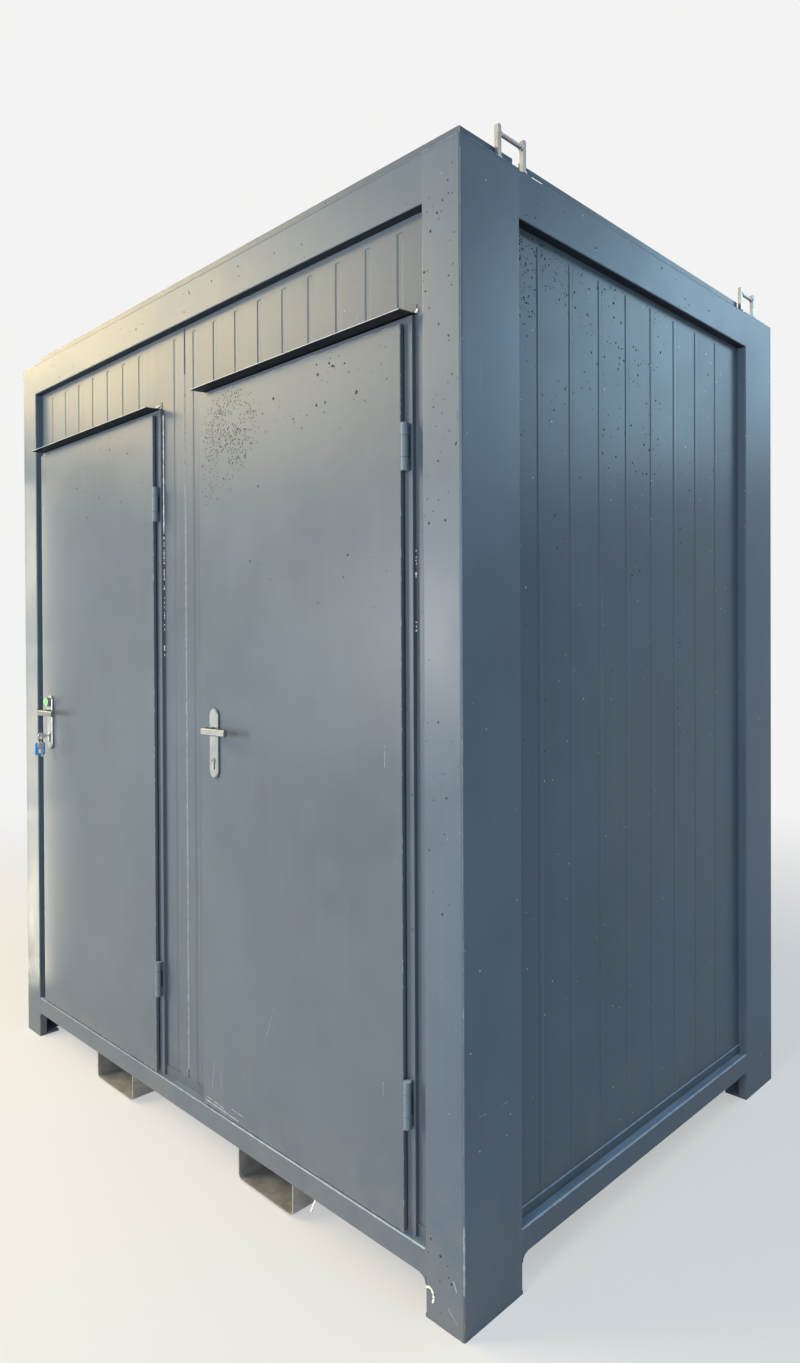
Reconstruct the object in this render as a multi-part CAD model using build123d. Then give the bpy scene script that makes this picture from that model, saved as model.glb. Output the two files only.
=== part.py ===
from build123d import *
import os

# A portable two-door site cabin. X runs along the door side, the doors face -Y and +Z is up.
# All sizes are in millimetres. The pieces are drawn about the middle of the steel frame.

# Steel frame
frame_length = 2190
frame_depth = 1575
frame_height = 2500
frame_sheet = 4
outer_bend = 6
inner_bend = 4
low_bend = 2

# Corner posts, folded to an angle with short returns between and below the rails
post_front = 110
post_side = 200
recess = 25
plate_thickness = 8
plate_arm = 70

# Rails between the posts
top_rail_height = 110
top_flange = 60
bottom_rail_low = 87
bottom_rail_height = 59
floor_flange = 110
low_flange = 40
gusset_radius = 18

# Floor
deck_thickness = 22
joist_count = 5
joist_width = 50
joist_sheet = 3

# Fork pockets, bent channels that run from front to back under the rails
pocket_width = 238
pocket_spacing = 816
pocket_ground_gap = 6
pocket_sheet = 4
pocket_bend = 16

# Wall panels
wall_thickness = 60
panel_joint = 2
rib_width = 20
rib_crest = 11
rib_height = 1.6
rib_stop = 24
door_wall_rib_pitch = 105
side_wall_rib_pitch = 130
side_ribs = 8
side_rib_shift = -27
joint_x = 3
joint_groove = 4
base_trim_height = 27
base_trim_sheet = 3
base_trim_lip = 1.5

# Roof
ceiling_thickness = 60
ceiling_drop = 20
roof_sheet = 2
roof_rib_count = 7
roof_rib_width = 60
roof_rib_crest = 24
roof_rib_height = 14
trim_height = 22
trim_width = 30
trim_sheet = 2
trim_inset = 14
mitre_gap = 0.4
long_trim_end = 974
short_trim_end = 556

# Worn gaps in the right-hand trim behind the front lug
trim_gap_start = -595
trim_gap_length = 25
trim_slot_start = -522
trim_slot_length = 42
trim_slot_height = 9

# Lifting lugs on the two short sides
lug_spacing = 1220
lug_width = 89
lug_bar = 12
lug_bar_depth = 10
lug_height = 72
lug_crossbar_drop = 17
lug_edge_gap = 2
lug_corner = 3

# Doors
leaf_width = 800
leaf_bottom = 153
over_leaf = 237
left_pier = 45
right_pier = 65
leaf_lip = 9
leaf_bend = 2
leaf_thickness = 45
seal_gap = 5
body_gap = 7

# Door frames, folded round the cut edge of the wall
door_frame_sheet = 2
door_frame_bend = 1.5
frame_reach = 16
hinge_side_reach = 23
lip_overlap = 24
threshold_height = 22

# Drip caps over the doors
drip_reach = 57
drip_fall = 4
drip_upstand = 20
drip_sheet = 2
drip_length = 828
drip_clear = 3
left_drip_shift = 1
right_drip_shift = 14

# Hinges, three knuckles on one pin
hinge_radius = 9
pin_radius = 5
pin_fit = 0.05
hinge_out = 11.5
hinge_depth = 1
knuckle_end = 28
knuckle_middle = 48
knuckle_gap = 1.2
upper_hinge_inset = 271
lower_hinge_inset = 285
hinge_arm = 6

# Handles and locks
plate_width = 40
plate_height = 193
plate_depth = 8
plate_edge = 2.5
plate_drop = 37
backset = 72
lever_height = 1217
lever_reach = 54
lever_length = 118
lever_thickness = 11
lever_depth = 18
lever_bend = 13
lever_edge = 2.5
lever_gap = 0.4
spindle = 8
spindle_hole = 6.5
lock_spacing = 84
lock_radius = 8.5
lock_leg = 10
lock_drop = 24.5
lock_proud = 3
lock_fit = 0.3
hole_sides = 12
keyway_width = 2.8
keyway_height = 8
keyway_depth = 14

# Occupancy rosette and the key with its tag on the left door
rosette_radius = 17
rosette_depth = 12
rosette_rise = 37
key_sheet = 2.4
key_depth = 12
key_bow = 24
key_blade = 7
key_reach = 38
key_eye_radius = 3
key_eye_margin = 3.5
ring_radius = 14
ring_wire = 1.8
ring_width = 2.4
ring_sides = 24
tag_width = 38
tag_height = 46
tag_depth = 4
tag_corner = 3
loose_gap = 0.3

# The origin lies on the ground under the middle of the whole, the key's tag included
key_eye_reach = plate_depth + lock_proud + key_reach - key_eye_margin - key_eye_radius
origin_shift = (key_eye_reach + tag_width / 2) / 2

front = -frame_depth / 2
back = frame_depth / 2
right = frame_length / 2
left = -frame_length / 2
bottom_rail_top = bottom_rail_low + bottom_rail_height
top_rail_low = frame_height - top_rail_height
wall_top = frame_height - ceiling_drop - ceiling_thickness
deck_top = bottom_rail_top + deck_thickness
leaf_top = top_rail_low - over_leaf
left_leaf_x = left + post_front + left_pier
right_leaf_x = right - post_front - right_pier - leaf_width
plate_centre_height = lever_height - plate_drop
lock_height = lever_height - lock_spacing
rosette_height = lever_height + rosette_rise
inner_face = recess + wall_thickness
frame_face = leaf_lip + seal_gap
frame_top = leaf_top + frame_reach
plate_top = frame_height - plate_thickness

os.makedirs("parts", exist_ok=True)


def keep(name, *solids):
    """Write one node, moved so that the origin is under the middle of the whole."""
    found = [solid for piece in solids for solid in piece.solids()]
    node = Pos(0, origin_shift, 0) * Compound(found)
    node.label = name
    export_step(node, f"parts/{name}.step")


def block(x, y, z):
    """A block between two values along each axis."""
    size = [high - low for low, high in (x, y, z)]
    return Pos(x[0], y[0], z[0]) * Box(*size, align=(Align.MIN, Align.MIN, Align.MIN))


def folded(points, thickness, radii):
    """The section of a folded sheet, to the right of the line through its outer points."""
    line = FilletPolyline(*points, radius=radii)
    return make_face(line.offset_2d(thickness, side=Side.RIGHT))


def along_x(section, length):
    """A section drawn as (depth, height), run along X about the middle."""
    placed = Plane((-length / 2, 0, 0), x_dir=(0, 1, 0), z_dir=(1, 0, 0)) * section
    return extrude(placed, length, dir=(1, 0, 0))


def on_side(side, shape):
    """Turn a piece that faces -Y with its face at y = 0 and set it on one side of the frame."""
    place = {
        "front": Pos(0, front, 0),
        "right": Pos(right, 0, 0) * Rot(0, 0, 90),
        "back": Pos(0, back, 0) * Rot(0, 0, 180),
        "left": Pos(left, 0, 0) * Rot(0, 0, -90),
    }
    return place[side] * shape


def at_corners(shape):
    """A piece drawn at the front left corner, mirrored to all four corners."""
    front_right = mirror(shape, about=Plane.YZ)
    return {
        "front_left": shape,
        "front_right": front_right,
        "back_left": mirror(shape, about=Plane.XZ),
        "back_right": mirror(front_right, about=Plane.XZ),
    }


def between_posts(side):
    """The clear length between the posts on one side."""
    if side in ("front", "back"):
        return frame_length - 2 * post_front
    return frame_depth - 2 * post_side


# Corner posts
def post_section(returned):
    """The section of a post, with its returns or cut flat for a rail's end."""
    corner = [(post_front, 0), (0, 0), (0, post_side)]
    radii = (outer_bend,)
    if returned:
        corner = [(post_front, recess), *corner, (recess, post_side)]
        radii = (inner_bend, outer_bend, inner_bend)
    return folded(corner, frame_sheet, radii)


def corner_post():
    """A folded post whose returns stop where the rails butt against it."""
    levels = [plate_thickness, bottom_rail_low, bottom_rail_top, top_rail_low, plate_top]
    returned = [True, False, True, False]
    lengths = [
        Pos(0, 0, low) * extrude(post_section(kind), high - low)
        for low, high, kind in zip(levels, levels[1:], returned)
    ]
    return Pos(left, front, 0) * (lengths[0] + lengths[1:])


def foot_plate():
    outline = Polyline(
        (0, 0),
        (post_front, 0),
        (post_front, plate_arm),
        (plate_arm, plate_arm),
        (plate_arm, post_side),
        (0, post_side),
        close=True,
    )
    face = make_face(outline)
    face = fillet(face.vertices().sort_by_distance((0, 0))[0], outer_bend)
    return Pos(left, front, 0) * extrude(face, plate_thickness)


def head_plate():
    face = Rectangle(post_front, post_side, align=(Align.MIN, Align.MIN))
    face = fillet(face.vertices().sort_by_distance((0, 0))[0], outer_bend)
    return Pos(left, front, plate_top) * extrude(face, plate_thickness)


for corner_name, post in at_corners(corner_post()).items():
    keep(f"corner_post_{corner_name}", post)
keep("foot_plates", *at_corners(foot_plate()).values())
keep("head_plates", *at_corners(head_plate()).values())


# Rails
def gusset(end):
    """The small rounded web under a rail's end, where it runs into the foot."""
    x = end * gusset_radius / 2
    web = Rectangle(gusset_radius, gusset_radius) - Pos(-x, -gusset_radius / 2) * Circle(gusset_radius)
    return extrude(Plane.XZ * web, -frame_sheet)


def bottom_rail(side):
    length = between_posts(side)
    section = folded(
        [
            (low_flange, bottom_rail_low),
            (0, bottom_rail_low),
            (0, bottom_rail_top),
            (floor_flange, bottom_rail_top),
        ],
        frame_sheet,
        (low_bend, inner_bend),
    )
    rail = along_x(section, length)
    for end in (-1, 1):
        middle = end * (length - gusset_radius) / 2
        rail += Pos(middle, 0, bottom_rail_low - gusset_radius / 2) * gusset(end)
    return on_side(side, rail)


def top_rail(side):
    section = folded(
        [
            (recess, top_rail_low),
            (0, top_rail_low),
            (0, frame_height),
            (top_flange, frame_height),
        ],
        frame_sheet,
        (inner_bend, outer_bend),
    )
    return on_side(side, along_x(section, between_posts(side)))


for side_name in ("front", "back", "left", "right"):
    keep(f"bottom_rail_{side_name}", bottom_rail(side_name))
    keep(f"top_rail_{side_name}", top_rail(side_name))


# Floor
def floor_joists():
    """Channels from front to back, notched under the flanges of the two long rails."""
    spread = frame_length - 2 * floor_flange - joist_width
    length = frame_depth - 2 * frame_sheet
    flange_gap = frame_depth - 2 * floor_flange
    low = bottom_rail_low + frame_sheet
    for index in range(joist_count):
        x = spread * (index / (joist_count - 1) - 0.5)
        height = bottom_rail_top - low
        outer = Rectangle(joist_width, height)
        hollow = Pos(joist_sheet, 0) * Rectangle(joist_width, height - 2 * joist_sheet)
        bar = extrude(Plane.XZ * (outer - hollow), length / 2, both=True)
        bar = Pos(x, 0, low + height / 2) * bar
        for end in (-1, 1):
            notch_y = sorted((end * flange_gap / 2, end * length))
            bar -= block((x - joist_width, x + joist_width), notch_y,
                         (bottom_rail_top - frame_sheet, bottom_rail_top + 1))
        yield bar


def fork_pocket(centre):
    half = pocket_width / 2
    section = folded(
        [
            (half, bottom_rail_low),
            (half, pocket_ground_gap),
            (-half, pocket_ground_gap),
            (-half, bottom_rail_low),
        ],
        pocket_sheet,
        (pocket_bend, pocket_bend),
    )
    return Pos(centre, 0, 0) * extrude(Plane.XZ * section, frame_depth / 2, both=True)


keep("floor_joists", *floor_joists())
keep("fork_pocket_left", fork_pocket(-pocket_spacing / 2))
keep("fork_pocket_right", fork_pocket(pocket_spacing / 2))
keep("floor_deck", block(
    (left + inner_face, right - inner_face),
    (front + inner_face, back - inner_face),
    (bottom_rail_top, deck_top),
))


# Walls
def rib_face(height):
    """The section of one shallow rib, seen from above, with its root on y = 0."""
    half, crest = rib_width / 2, rib_crest / 2
    return make_face(Polyline((-half, 0), (-crest, height), (crest, height), (half, 0), close=True))


def panel(x, z, ribs=(), raised=False):
    """A wall panel with its outer face on y = recess and ribs at the given places along it."""
    slab = block(x, (recess, inner_face), z)
    low = bottom_rail_top + base_trim_height if raised else z[0]
    for rib_x in ribs:
        if x[0] + rib_width < rib_x < x[1] - rib_width:
            height = -rib_height if raised else rib_height
            rib = extrude(rib_face(height), top_rail_low - rib_stop - low, dir=(0, 0, 1))
            rib = Pos(rib_x, recess, low) * rib
            slab = slab + rib if raised else slab - rib
    return slab


def rib_places(pitch, joint):
    """Places of the ribs on both sides of a panel joint, half a pitch from it."""
    count = int(frame_length / pitch)
    return [joint + pitch * (index + 0.5) for index in range(-count, count)]


door_places = {"left": left_leaf_x, "right": right_leaf_x}
wall_z = (bottom_rail_top, wall_top)
over_z = (frame_top - frame_reach, wall_top)
wall_end = frame_length / 2 - recess
jambs = {
    "left": (left_leaf_x, left_leaf_x + leaf_width),
    "right": (right_leaf_x, right_leaf_x + leaf_width),
}


def jointed_wall(side, x, z, joint):
    """A wall between two places, in two panels where their joint lies between them."""
    ribs = rib_places(door_wall_rib_pitch, joint)
    groove = Polyline((-joint_groove, 0), (0, joint_groove), (joint_groove, 0), close=True)
    groove = extrude(make_face(groove), z[1] - z[0], dir=(0, 0, 1))
    spans = ((x[0], min(x[1], joint - panel_joint / 2)), (max(x[0], joint + panel_joint / 2), x[1]))
    for span in spans:
        if span[1] > span[0]:
            yield on_side(side, panel(span, z, ribs) - Pos(joint, recess, z[0]) * groove)


front_walls = {
    "left_pier": ((-wall_end, jambs["left"][0]), wall_z),
    "over_left_door": (jambs["left"], over_z),
    "middle": ((jambs["left"][1], jambs["right"][0]), wall_z),
    "over_right_door": (jambs["right"], over_z),
    "right_pier": ((jambs["right"][1], wall_end), wall_z),
}
for wall_name, (wall_x, wall_span) in front_walls.items():
    keep(f"front_wall_{wall_name}", *jointed_wall("front", wall_x, wall_span, joint_x))
keep("back_wall", *jointed_wall("back", (-wall_end, wall_end), wall_z, 0))

side_half = frame_depth / 2 - inner_face
side_rib_places = [side_rib_shift + side_wall_rib_pitch * (index - (side_ribs - 1) / 2)
                   for index in range(side_ribs)]
for side_name in ("left", "right"):
    side_panel = panel((-side_half, side_half), wall_z, side_rib_places, raised=True)
    keep(f"{side_name}_wall", on_side(side_name, side_panel))


# Base trim, an upstand along the foot of each wall with its top edge turned out
def base_strip(side, x):
    face = recess - base_trim_sheet
    top = bottom_rail_top + base_trim_height
    outline = Polyline(
        (recess, bottom_rail_top),
        (face, bottom_rail_top),
        (face, top - 3 * base_trim_lip),
        (face - base_trim_lip, top - base_trim_lip),
        (face - base_trim_lip, top),
        (recess, top),
        close=True,
    )
    strip = along_x(make_face(outline), x[1] - x[0])
    return on_side(side, Pos((x[0] + x[1]) / 2, 0, 0) * strip)


def base_strips():
    pier = between_posts("front") / 2
    yield base_strip("front", (-pier, jambs["left"][0] - frame_reach))
    yield base_strip("front", (jambs["left"][1] + hinge_side_reach, jambs["right"][0] - frame_reach))
    yield base_strip("front", (jambs["right"][1] + hinge_side_reach, pier))
    for side in ("back", "left", "right"):
        half = between_posts(side) / 2
        yield base_strip(side, (-half, half))


keep("base_trim", *base_strips())


# Roof
keep("ceiling_panel", block(
    (-wall_end, wall_end),
    (front + recess, back - recess),
    (wall_top, wall_top + ceiling_thickness),
))


def roof():
    """A thin sheet over the frame with folded ribs from front to back."""
    half_x = frame_length / 2 - trim_inset
    half_y = frame_depth / 2 - trim_inset
    spread = frame_length - 2 * (top_flange + roof_rib_width)
    top = frame_height + roof_sheet
    sheet = block((-half_x, half_x), (-half_y, half_y), (frame_height, top))
    rib_half_y = half_y - trim_width
    for index in range(roof_rib_count):
        x = spread * (index / (roof_rib_count - 1) - 0.5)
        half, crest = roof_rib_width / 2, roof_rib_crest / 2
        outline = Polyline((x - half, top), (x - crest, top + roof_rib_height),
                           (x + crest, top + roof_rib_height), (x + half, top), close=True)
        sheet += extrude(Plane.XZ * make_face(outline), rib_half_y, both=True)
    return sheet


def trim_strip(side):
    """An angle along the roof's edge, mitred at the corner it shares and cut square at its other end."""
    corner, square = frame_length / 2, -long_trim_end
    if side in ("left", "right"):
        corner, square = -frame_depth / 2, short_trim_end
    base = frame_height + roof_sheet
    section = folded(
        [(trim_inset + trim_width, base), (trim_inset, base), (trim_inset, base + trim_height)],
        trim_sheet,
        (trim_sheet,),
    )
    strip = Pos((corner + square) / 2, 0, 0) * along_x(section, abs(corner - square))
    reach = 2 * trim_width
    out = 1 if corner > square else -1
    mitre = Polyline(
        (corner - out * mitre_gap, 0),
        (corner - out * (mitre_gap + reach), reach),
        (corner + out, reach),
        (corner + out, 0),
        close=True,
    )
    strip -= Pos(0, 0, frame_height) * extrude(make_face(mitre), 2 * trim_height, dir=(0, 0, 1))
    if side == "right":
        wall = (trim_inset - 1, trim_inset + trim_sheet + 1)
        root = base + trim_sheet
        strip -= block((trim_gap_start, trim_gap_start + trim_gap_length), wall, (root, base + 2 * trim_height))
        strip -= block((trim_slot_start, trim_slot_start + trim_slot_length), wall, (root, root + trim_slot_height))
    return on_side(side, strip)


keep("roof_sheet", roof())
keep("roof_edge_trim", *[trim_strip(side) for side in ("front", "back", "left", "right")])


# Lifting lugs
def lug_centres():
    for side in ("left", "right"):
        for end in (-1, 1):
            yield side, end * lug_spacing / 2


def lug_uprights():
    for side, centre in lug_centres():
        for end in (-1, 1):
            x = centre + end * lug_width / 2
            outline = Rectangle(lug_bar, lug_height, align=(Align.CENTER, Align.MIN))
            outline = chamfer(outline.vertices().group_by(Axis.Y)[-1], lug_corner)
            bar = extrude(Plane.XZ * outline, -lug_bar_depth)
            yield on_side(side, Pos(x, lug_edge_gap, frame_height) * bar)


def lug_crossbars():
    for side, centre in lug_centres():
        length = lug_width - lug_bar
        rod = Rot(0, 90, 0) * Cylinder(lug_bar_depth / 2, length)
        y = lug_edge_gap + lug_bar_depth / 2
        yield on_side(side, Pos(centre, y, frame_height + lug_height - lug_crossbar_drop) * rod)


keep("lifting_lug_uprights", *lug_uprights())
keep("lifting_lug_crossbars", *lug_crossbars())


# Doors
def ring(outer_x, outer_z, inner_x, inner_z, y):
    """A flat rectangular ring that faces -Y."""
    return block(outer_x, y, outer_z) - block(inner_x, (y[0] - 1, y[1] + 1), inner_z)


def grown(span, by):
    return span[0] - by, span[1] + by


def door_frame(leaf_x):
    """A folded frame round the wall's cut edge: face, outer return, reveal and inner flange."""
    x = (leaf_x, leaf_x + leaf_width)
    outer_x = (x[0] - frame_reach, x[1] + hinge_side_reach)
    outer_z = (bottom_rail_top, frame_top)
    inner_x = grown(x, -lip_overlap)
    inner_z = (bottom_rail_top + threshold_height, leaf_top - lip_overlap)
    sheet = door_frame_sheet
    face = ring(outer_x, outer_z, inner_x, inner_z, (frame_face, frame_face + sheet))
    outer_return = ring(outer_x, outer_z, grown(outer_x, -sheet), grown(outer_z, -sheet), (frame_face, recess))
    reveal = ring(grown(inner_x, sheet), grown(inner_z, sheet), inner_x, inner_z, (frame_face, inner_face + sheet))
    inner_flange = ring(outer_x, (deck_top, frame_top), inner_x, inner_z, (inner_face, inner_face + sheet))
    floor_edge = block(outer_x, (inner_face, inner_face + 2 * sheet), (bottom_rail_top, deck_top))
    folds = face + outer_return + reveal + inner_flange - floor_edge
    return on_side("front", fillet(folds.edges().filter_by(Axis.Z).group_by(Axis.Y)[0], door_frame_bend))


def drip_cap(leaf_x, shift):
    x = leaf_x + leaf_width / 2 + shift
    root = frame_top + drip_clear + drip_sheet
    section = folded(
        [
            (recess - drip_reach, root - drip_fall),
            (recess - drip_sheet, root),
            (recess - drip_sheet, root + drip_upstand),
        ],
        drip_sheet,
        (0.5,),
    )
    return on_side("front", Pos(x, 0, 0) * along_x(section, drip_length))


def lock_outline():
    """The outline of a profile cylinder, its round part centred on the origin."""
    return Circle(lock_radius) + Rectangle(lock_leg, lock_drop, align=(Align.CENTER, Align.MAX))


def small_hole(radius):
    """The outline of a small round hole, drawn with short flats that stay clear of the radius."""
    return RegularPolygon(radius, hole_sides, major_radius=False)


def lock_hole():
    """The outline of the hole that a profile cylinder fits."""
    leg = Rectangle(lock_leg + 2 * lock_fit, lock_drop + lock_fit, align=(Align.CENTER, Align.MAX))
    return small_hole(lock_radius + lock_fit) + leg


def through_y(outline, y, x, z):
    """An outline drawn as (x, z), run between two depths."""
    start = Plane((x, y[0], z), x_dir=(1, 0, 0), z_dir=(0, -1, 0))
    return extrude(start * outline, y[1] - y[0], dir=(0, 1, 0))


def hinge_heights():
    return leaf_bottom + lower_hinge_inset, leaf_top - upper_hinge_inset


def door_leaf(leaf_x):
    lip = block((leaf_x, leaf_x + leaf_width), (0, leaf_lip), (leaf_bottom, leaf_top))
    lip = fillet(lip.edges().filter_by(Axis.Z).group_by(Axis.Y)[0], leaf_bend)
    body_x = grown((leaf_x, leaf_x + leaf_width), -lip_overlap - body_gap)
    body_z = (bottom_rail_top + threshold_height + body_gap, leaf_top - lip_overlap - body_gap)
    leaf = lip + block(body_x, (0, leaf_thickness), body_z)
    x = leaf_x + backset
    span = (-1, leaf_thickness + 1)
    leaf -= through_y(small_hole(spindle_hole), span, x, lever_height)
    leaf -= through_y(lock_hole(), span, x, lock_height)
    return on_side("front", leaf)


def hinge_axis(leaf_x):
    return leaf_x + leaf_width + hinge_out, hinge_depth


def knuckle(x, y, low, high, radius):
    return Pos(x, y, low) * Cylinder(radius, high - low, align=(Align.CENTER, Align.CENTER, Align.MIN))


def frame_hinges(leaf_x):
    """The outer knuckles and the pin of each hinge, on arms from the door frame."""
    x, y = hinge_axis(leaf_x)
    for centre in hinge_heights():
        half = knuckle_middle / 2
        solid = knuckle(x, y, centre - half - knuckle_end, centre + half + knuckle_end, pin_radius)
        for low in (centre - half - knuckle_end, centre + half):
            low_gap = knuckle_gap / 2 if low > centre else 0
            high_gap = 0 if low > centre else knuckle_gap / 2
            z = (low + low_gap, low + knuckle_end - high_gap)
            solid += knuckle(x, y, *z, hinge_radius)
            solid += block((x - hinge_arm / 2, x + hinge_arm / 2), (y, frame_face), z)
        yield on_side("front", solid)


def leaf_hinges(leaf_x):
    """The middle knuckle of each hinge, on an arm from the leaf's edge."""
    x, y = hinge_axis(leaf_x)
    for centre in hinge_heights():
        half = (knuckle_middle - knuckle_gap) / 2
        z = (centre - half, centre + half)
        solid = knuckle(x, y, *z, hinge_radius)
        solid += block((leaf_x + leaf_width, x), (y, y + hinge_arm), z)
        solid -= knuckle(x, y, centre - knuckle_middle, centre + knuckle_middle, pin_radius + pin_fit)
        yield on_side("front", solid)


def handle_plates(leaf_x):
    x = leaf_x + backset
    straight = plate_height - plate_width
    outline = SlotCenterToCenter(straight, plate_width, rotation=90)
    for y, shown in (((-plate_depth, 0), 0), ((leaf_thickness, leaf_thickness + plate_depth), -1)):
        plate = through_y(outline, y, x, plate_centre_height)
        plate = chamfer(plate.faces().sort_by(Axis.Y)[shown].edges(), plate_edge)
        plate -= through_y(small_hole(spindle_hole), (y[0] - 1, y[1] + 1), x, lever_height)
        plate -= through_y(lock_hole(), (y[0] - 1, y[1] + 1), x, lock_height)
        yield on_side("front", plate)


def lever(leaf_x):
    """Both lever handles on one square spindle through the leaf."""
    x = leaf_x + backset
    out = -lever_reach + lever_thickness / 2
    start = -plate_depth - lever_gap
    path = FilletPolyline((0, start, 0), (0, out, 0), (lever_length, out, 0), radius=lever_bend)
    outline = Rectangle(lever_thickness, lever_depth)
    outline = chamfer(outline.vertices(), lever_edge)
    grip = sweep(Plane((0, start, 0), x_dir=(1, 0, 0), z_dir=(0, -1, 0)) * outline, path)
    middle = Plane.XZ.offset(-leaf_thickness / 2)
    both = grip + mirror(grip, about=middle)
    both += Box(spindle, leaf_thickness - 2 * start, spindle).moved(Pos(0, leaf_thickness / 2, 0))
    return on_side("front", Pos(x, 0, lever_height) * both)


def lock_cylinder(leaf_x):
    x = leaf_x + backset
    y = (-plate_depth - lock_proud, leaf_thickness + plate_depth + lock_proud)
    keyway = (x - keyway_width / 2, x + keyway_width / 2)
    height = (lock_height - keyway_height / 2, lock_height + keyway_height / 2)
    cylinder = through_y(lock_outline(), y, x, lock_height)
    for end in y:
        cylinder -= block(keyway, (end - keyway_depth, end + keyway_depth), height)
    return on_side("front", cylinder)


keep("door_drip_caps", drip_cap(left_leaf_x, left_drip_shift), drip_cap(right_leaf_x, right_drip_shift))
keep("door_frame_hinges", *frame_hinges(left_leaf_x), *frame_hinges(right_leaf_x))
for door, place in door_places.items():
    keep(f"{door}_door_frame", door_frame(place))
    keep(f"{door}_door_leaf", door_leaf(place))
    keep(f"{door}_leaf_hinges", *leaf_hinges(place))
    keep(f"{door}_handle_plates", *handle_plates(place))
    keep(f"{door}_lever", lever(place))
    keep(f"{door}_lock_cylinder", lock_cylinder(place))


# Occupancy rosette and key
def rosette():
    x = left_leaf_x + backset
    y = (-plate_depth - rosette_depth, -plate_depth)
    return on_side("front", through_y(Circle(rosette_radius), y, x, rosette_height))


def key_and_tag():
    """A flat key in the lock, a ring through its bow and a tag on the ring."""
    x = left_leaf_x + backset
    face = -plate_depth - lock_proud
    eye_y = -key_eye_reach
    key = block((x - key_sheet / 2, x + key_sheet / 2), (face - key_reach + key_bow / 2, face + key_depth),
                (lock_height - key_blade / 2, lock_height + key_blade / 2))
    bow = extrude(Plane.YZ * small_hole(key_bow / 2), key_sheet / 2, both=True)
    eye = extrude(Plane.YZ * small_hole(key_eye_radius), key_sheet, both=True)
    key += Pos(x, face - key_reach + key_bow / 2, lock_height) * bow
    key -= Pos(x, eye_y, lock_height) * eye
    hang = key_eye_radius - ring_wire / 2 - loose_gap
    ring_z = lock_height - hang - ring_radius
    hoop = RegularPolygon(ring_radius + ring_wire / 2, ring_sides) - RegularPolygon(ring_radius - ring_wire / 2, ring_sides)
    loop = Pos(x, eye_y, ring_z) * extrude(Plane.XZ * hoop, ring_width / 2, both=True)
    tag_eye_z = ring_z - ring_radius - hang
    outline = chamfer(Rectangle(tag_width, tag_height).vertices(), tag_corner)
    outline -= Pos(0, tag_height / 2 - key_eye_margin - key_eye_radius) * small_hole(key_eye_radius)
    tag = extrude(Plane.YZ * outline, tag_depth / 2, both=True)
    tag_z = tag_eye_z - tag_height / 2 + key_eye_margin + key_eye_radius
    return [on_side("front", piece) for piece in (key, loop, Pos(x, eye_y, tag_z) * tag)]


keep("occupancy_rosette", rosette())
keep("key_with_tag", *key_and_tag())
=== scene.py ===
"""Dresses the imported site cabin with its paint, zinc, seals, welds, fixings and rain, and sets its stage."""

import math

import bmesh
import bpy
from mathutils import Matrix, Vector


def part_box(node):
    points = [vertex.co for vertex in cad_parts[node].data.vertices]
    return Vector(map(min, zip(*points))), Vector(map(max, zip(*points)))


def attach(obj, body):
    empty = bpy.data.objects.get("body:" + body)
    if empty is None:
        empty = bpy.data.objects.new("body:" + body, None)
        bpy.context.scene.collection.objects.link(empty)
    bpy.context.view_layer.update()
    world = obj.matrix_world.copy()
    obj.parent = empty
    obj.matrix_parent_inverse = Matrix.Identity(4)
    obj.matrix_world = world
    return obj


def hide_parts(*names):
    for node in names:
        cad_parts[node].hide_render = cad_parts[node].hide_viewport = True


bl_info = {
    "name": "Site cabin dresser",
    "version": (1, 0, 0),
    "blender": (4, 5, 0),
    "location": "View3D > Sidebar > Cabin",
    "description": "Dresses a two-door portable site cabin and sets its stage",
    "category": "Object",
}

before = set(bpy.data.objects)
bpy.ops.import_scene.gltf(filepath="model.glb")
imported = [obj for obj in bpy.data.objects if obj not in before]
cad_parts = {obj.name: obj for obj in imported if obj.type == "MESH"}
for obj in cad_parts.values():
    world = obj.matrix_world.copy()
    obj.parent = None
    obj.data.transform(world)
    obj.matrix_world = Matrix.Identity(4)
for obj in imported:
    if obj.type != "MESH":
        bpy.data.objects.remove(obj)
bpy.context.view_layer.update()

# The frame's main planes and boxes, in metres
POST_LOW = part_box("corner_post_front_left")[0]
POST_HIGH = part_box("corner_post_back_right")[1]
FRONT, BACK = POST_LOW.y, POST_HIGH.y
LEFT, RIGHT = POST_LOW.x, POST_HIGH.x
MIDDLE_Y = (FRONT + BACK) / 2
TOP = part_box("top_rail_front")[1].z
WALL_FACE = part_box("front_wall_middle")[0].y
INNER_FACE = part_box("front_wall_middle")[1].y
SIDE_FACE = RIGHT - (WALL_FACE - FRONT)
DOORS = {side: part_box(f"{side}_door_leaf") for side in ("left", "right")}
FRAMES = {side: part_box(f"{side}_door_frame") for side in ("left", "right")}
SAME_POINT = 1e-6  # points closer than this are one

# The photograph's viewpoint, and the colours of the background and of the light
EYE = Vector((2.2775, MIDDLE_Y - 2.160, 1.440))
BACKGROUND = (0.90, 0.90, 0.895)
SKY, DAYLIGHT, WARM = (0.65, 0.85, 1.0), (0.48, 0.79, 1.0), (1.0, 0.96, 0.90)


# Node helpers
def plug(tree, socket, value):
    """Give a socket a plain value or another node's output."""
    if isinstance(value, bpy.types.NodeSocket):
        tree.links.new(value, socket)
    else:
        socket.default_value = value


def feed(tree, sockets, **values):
    """Plug several sockets by their names, with _ for a space."""
    for label, value in values.items():
        plug(tree, sockets[label.replace("_", " ")], value)


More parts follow.
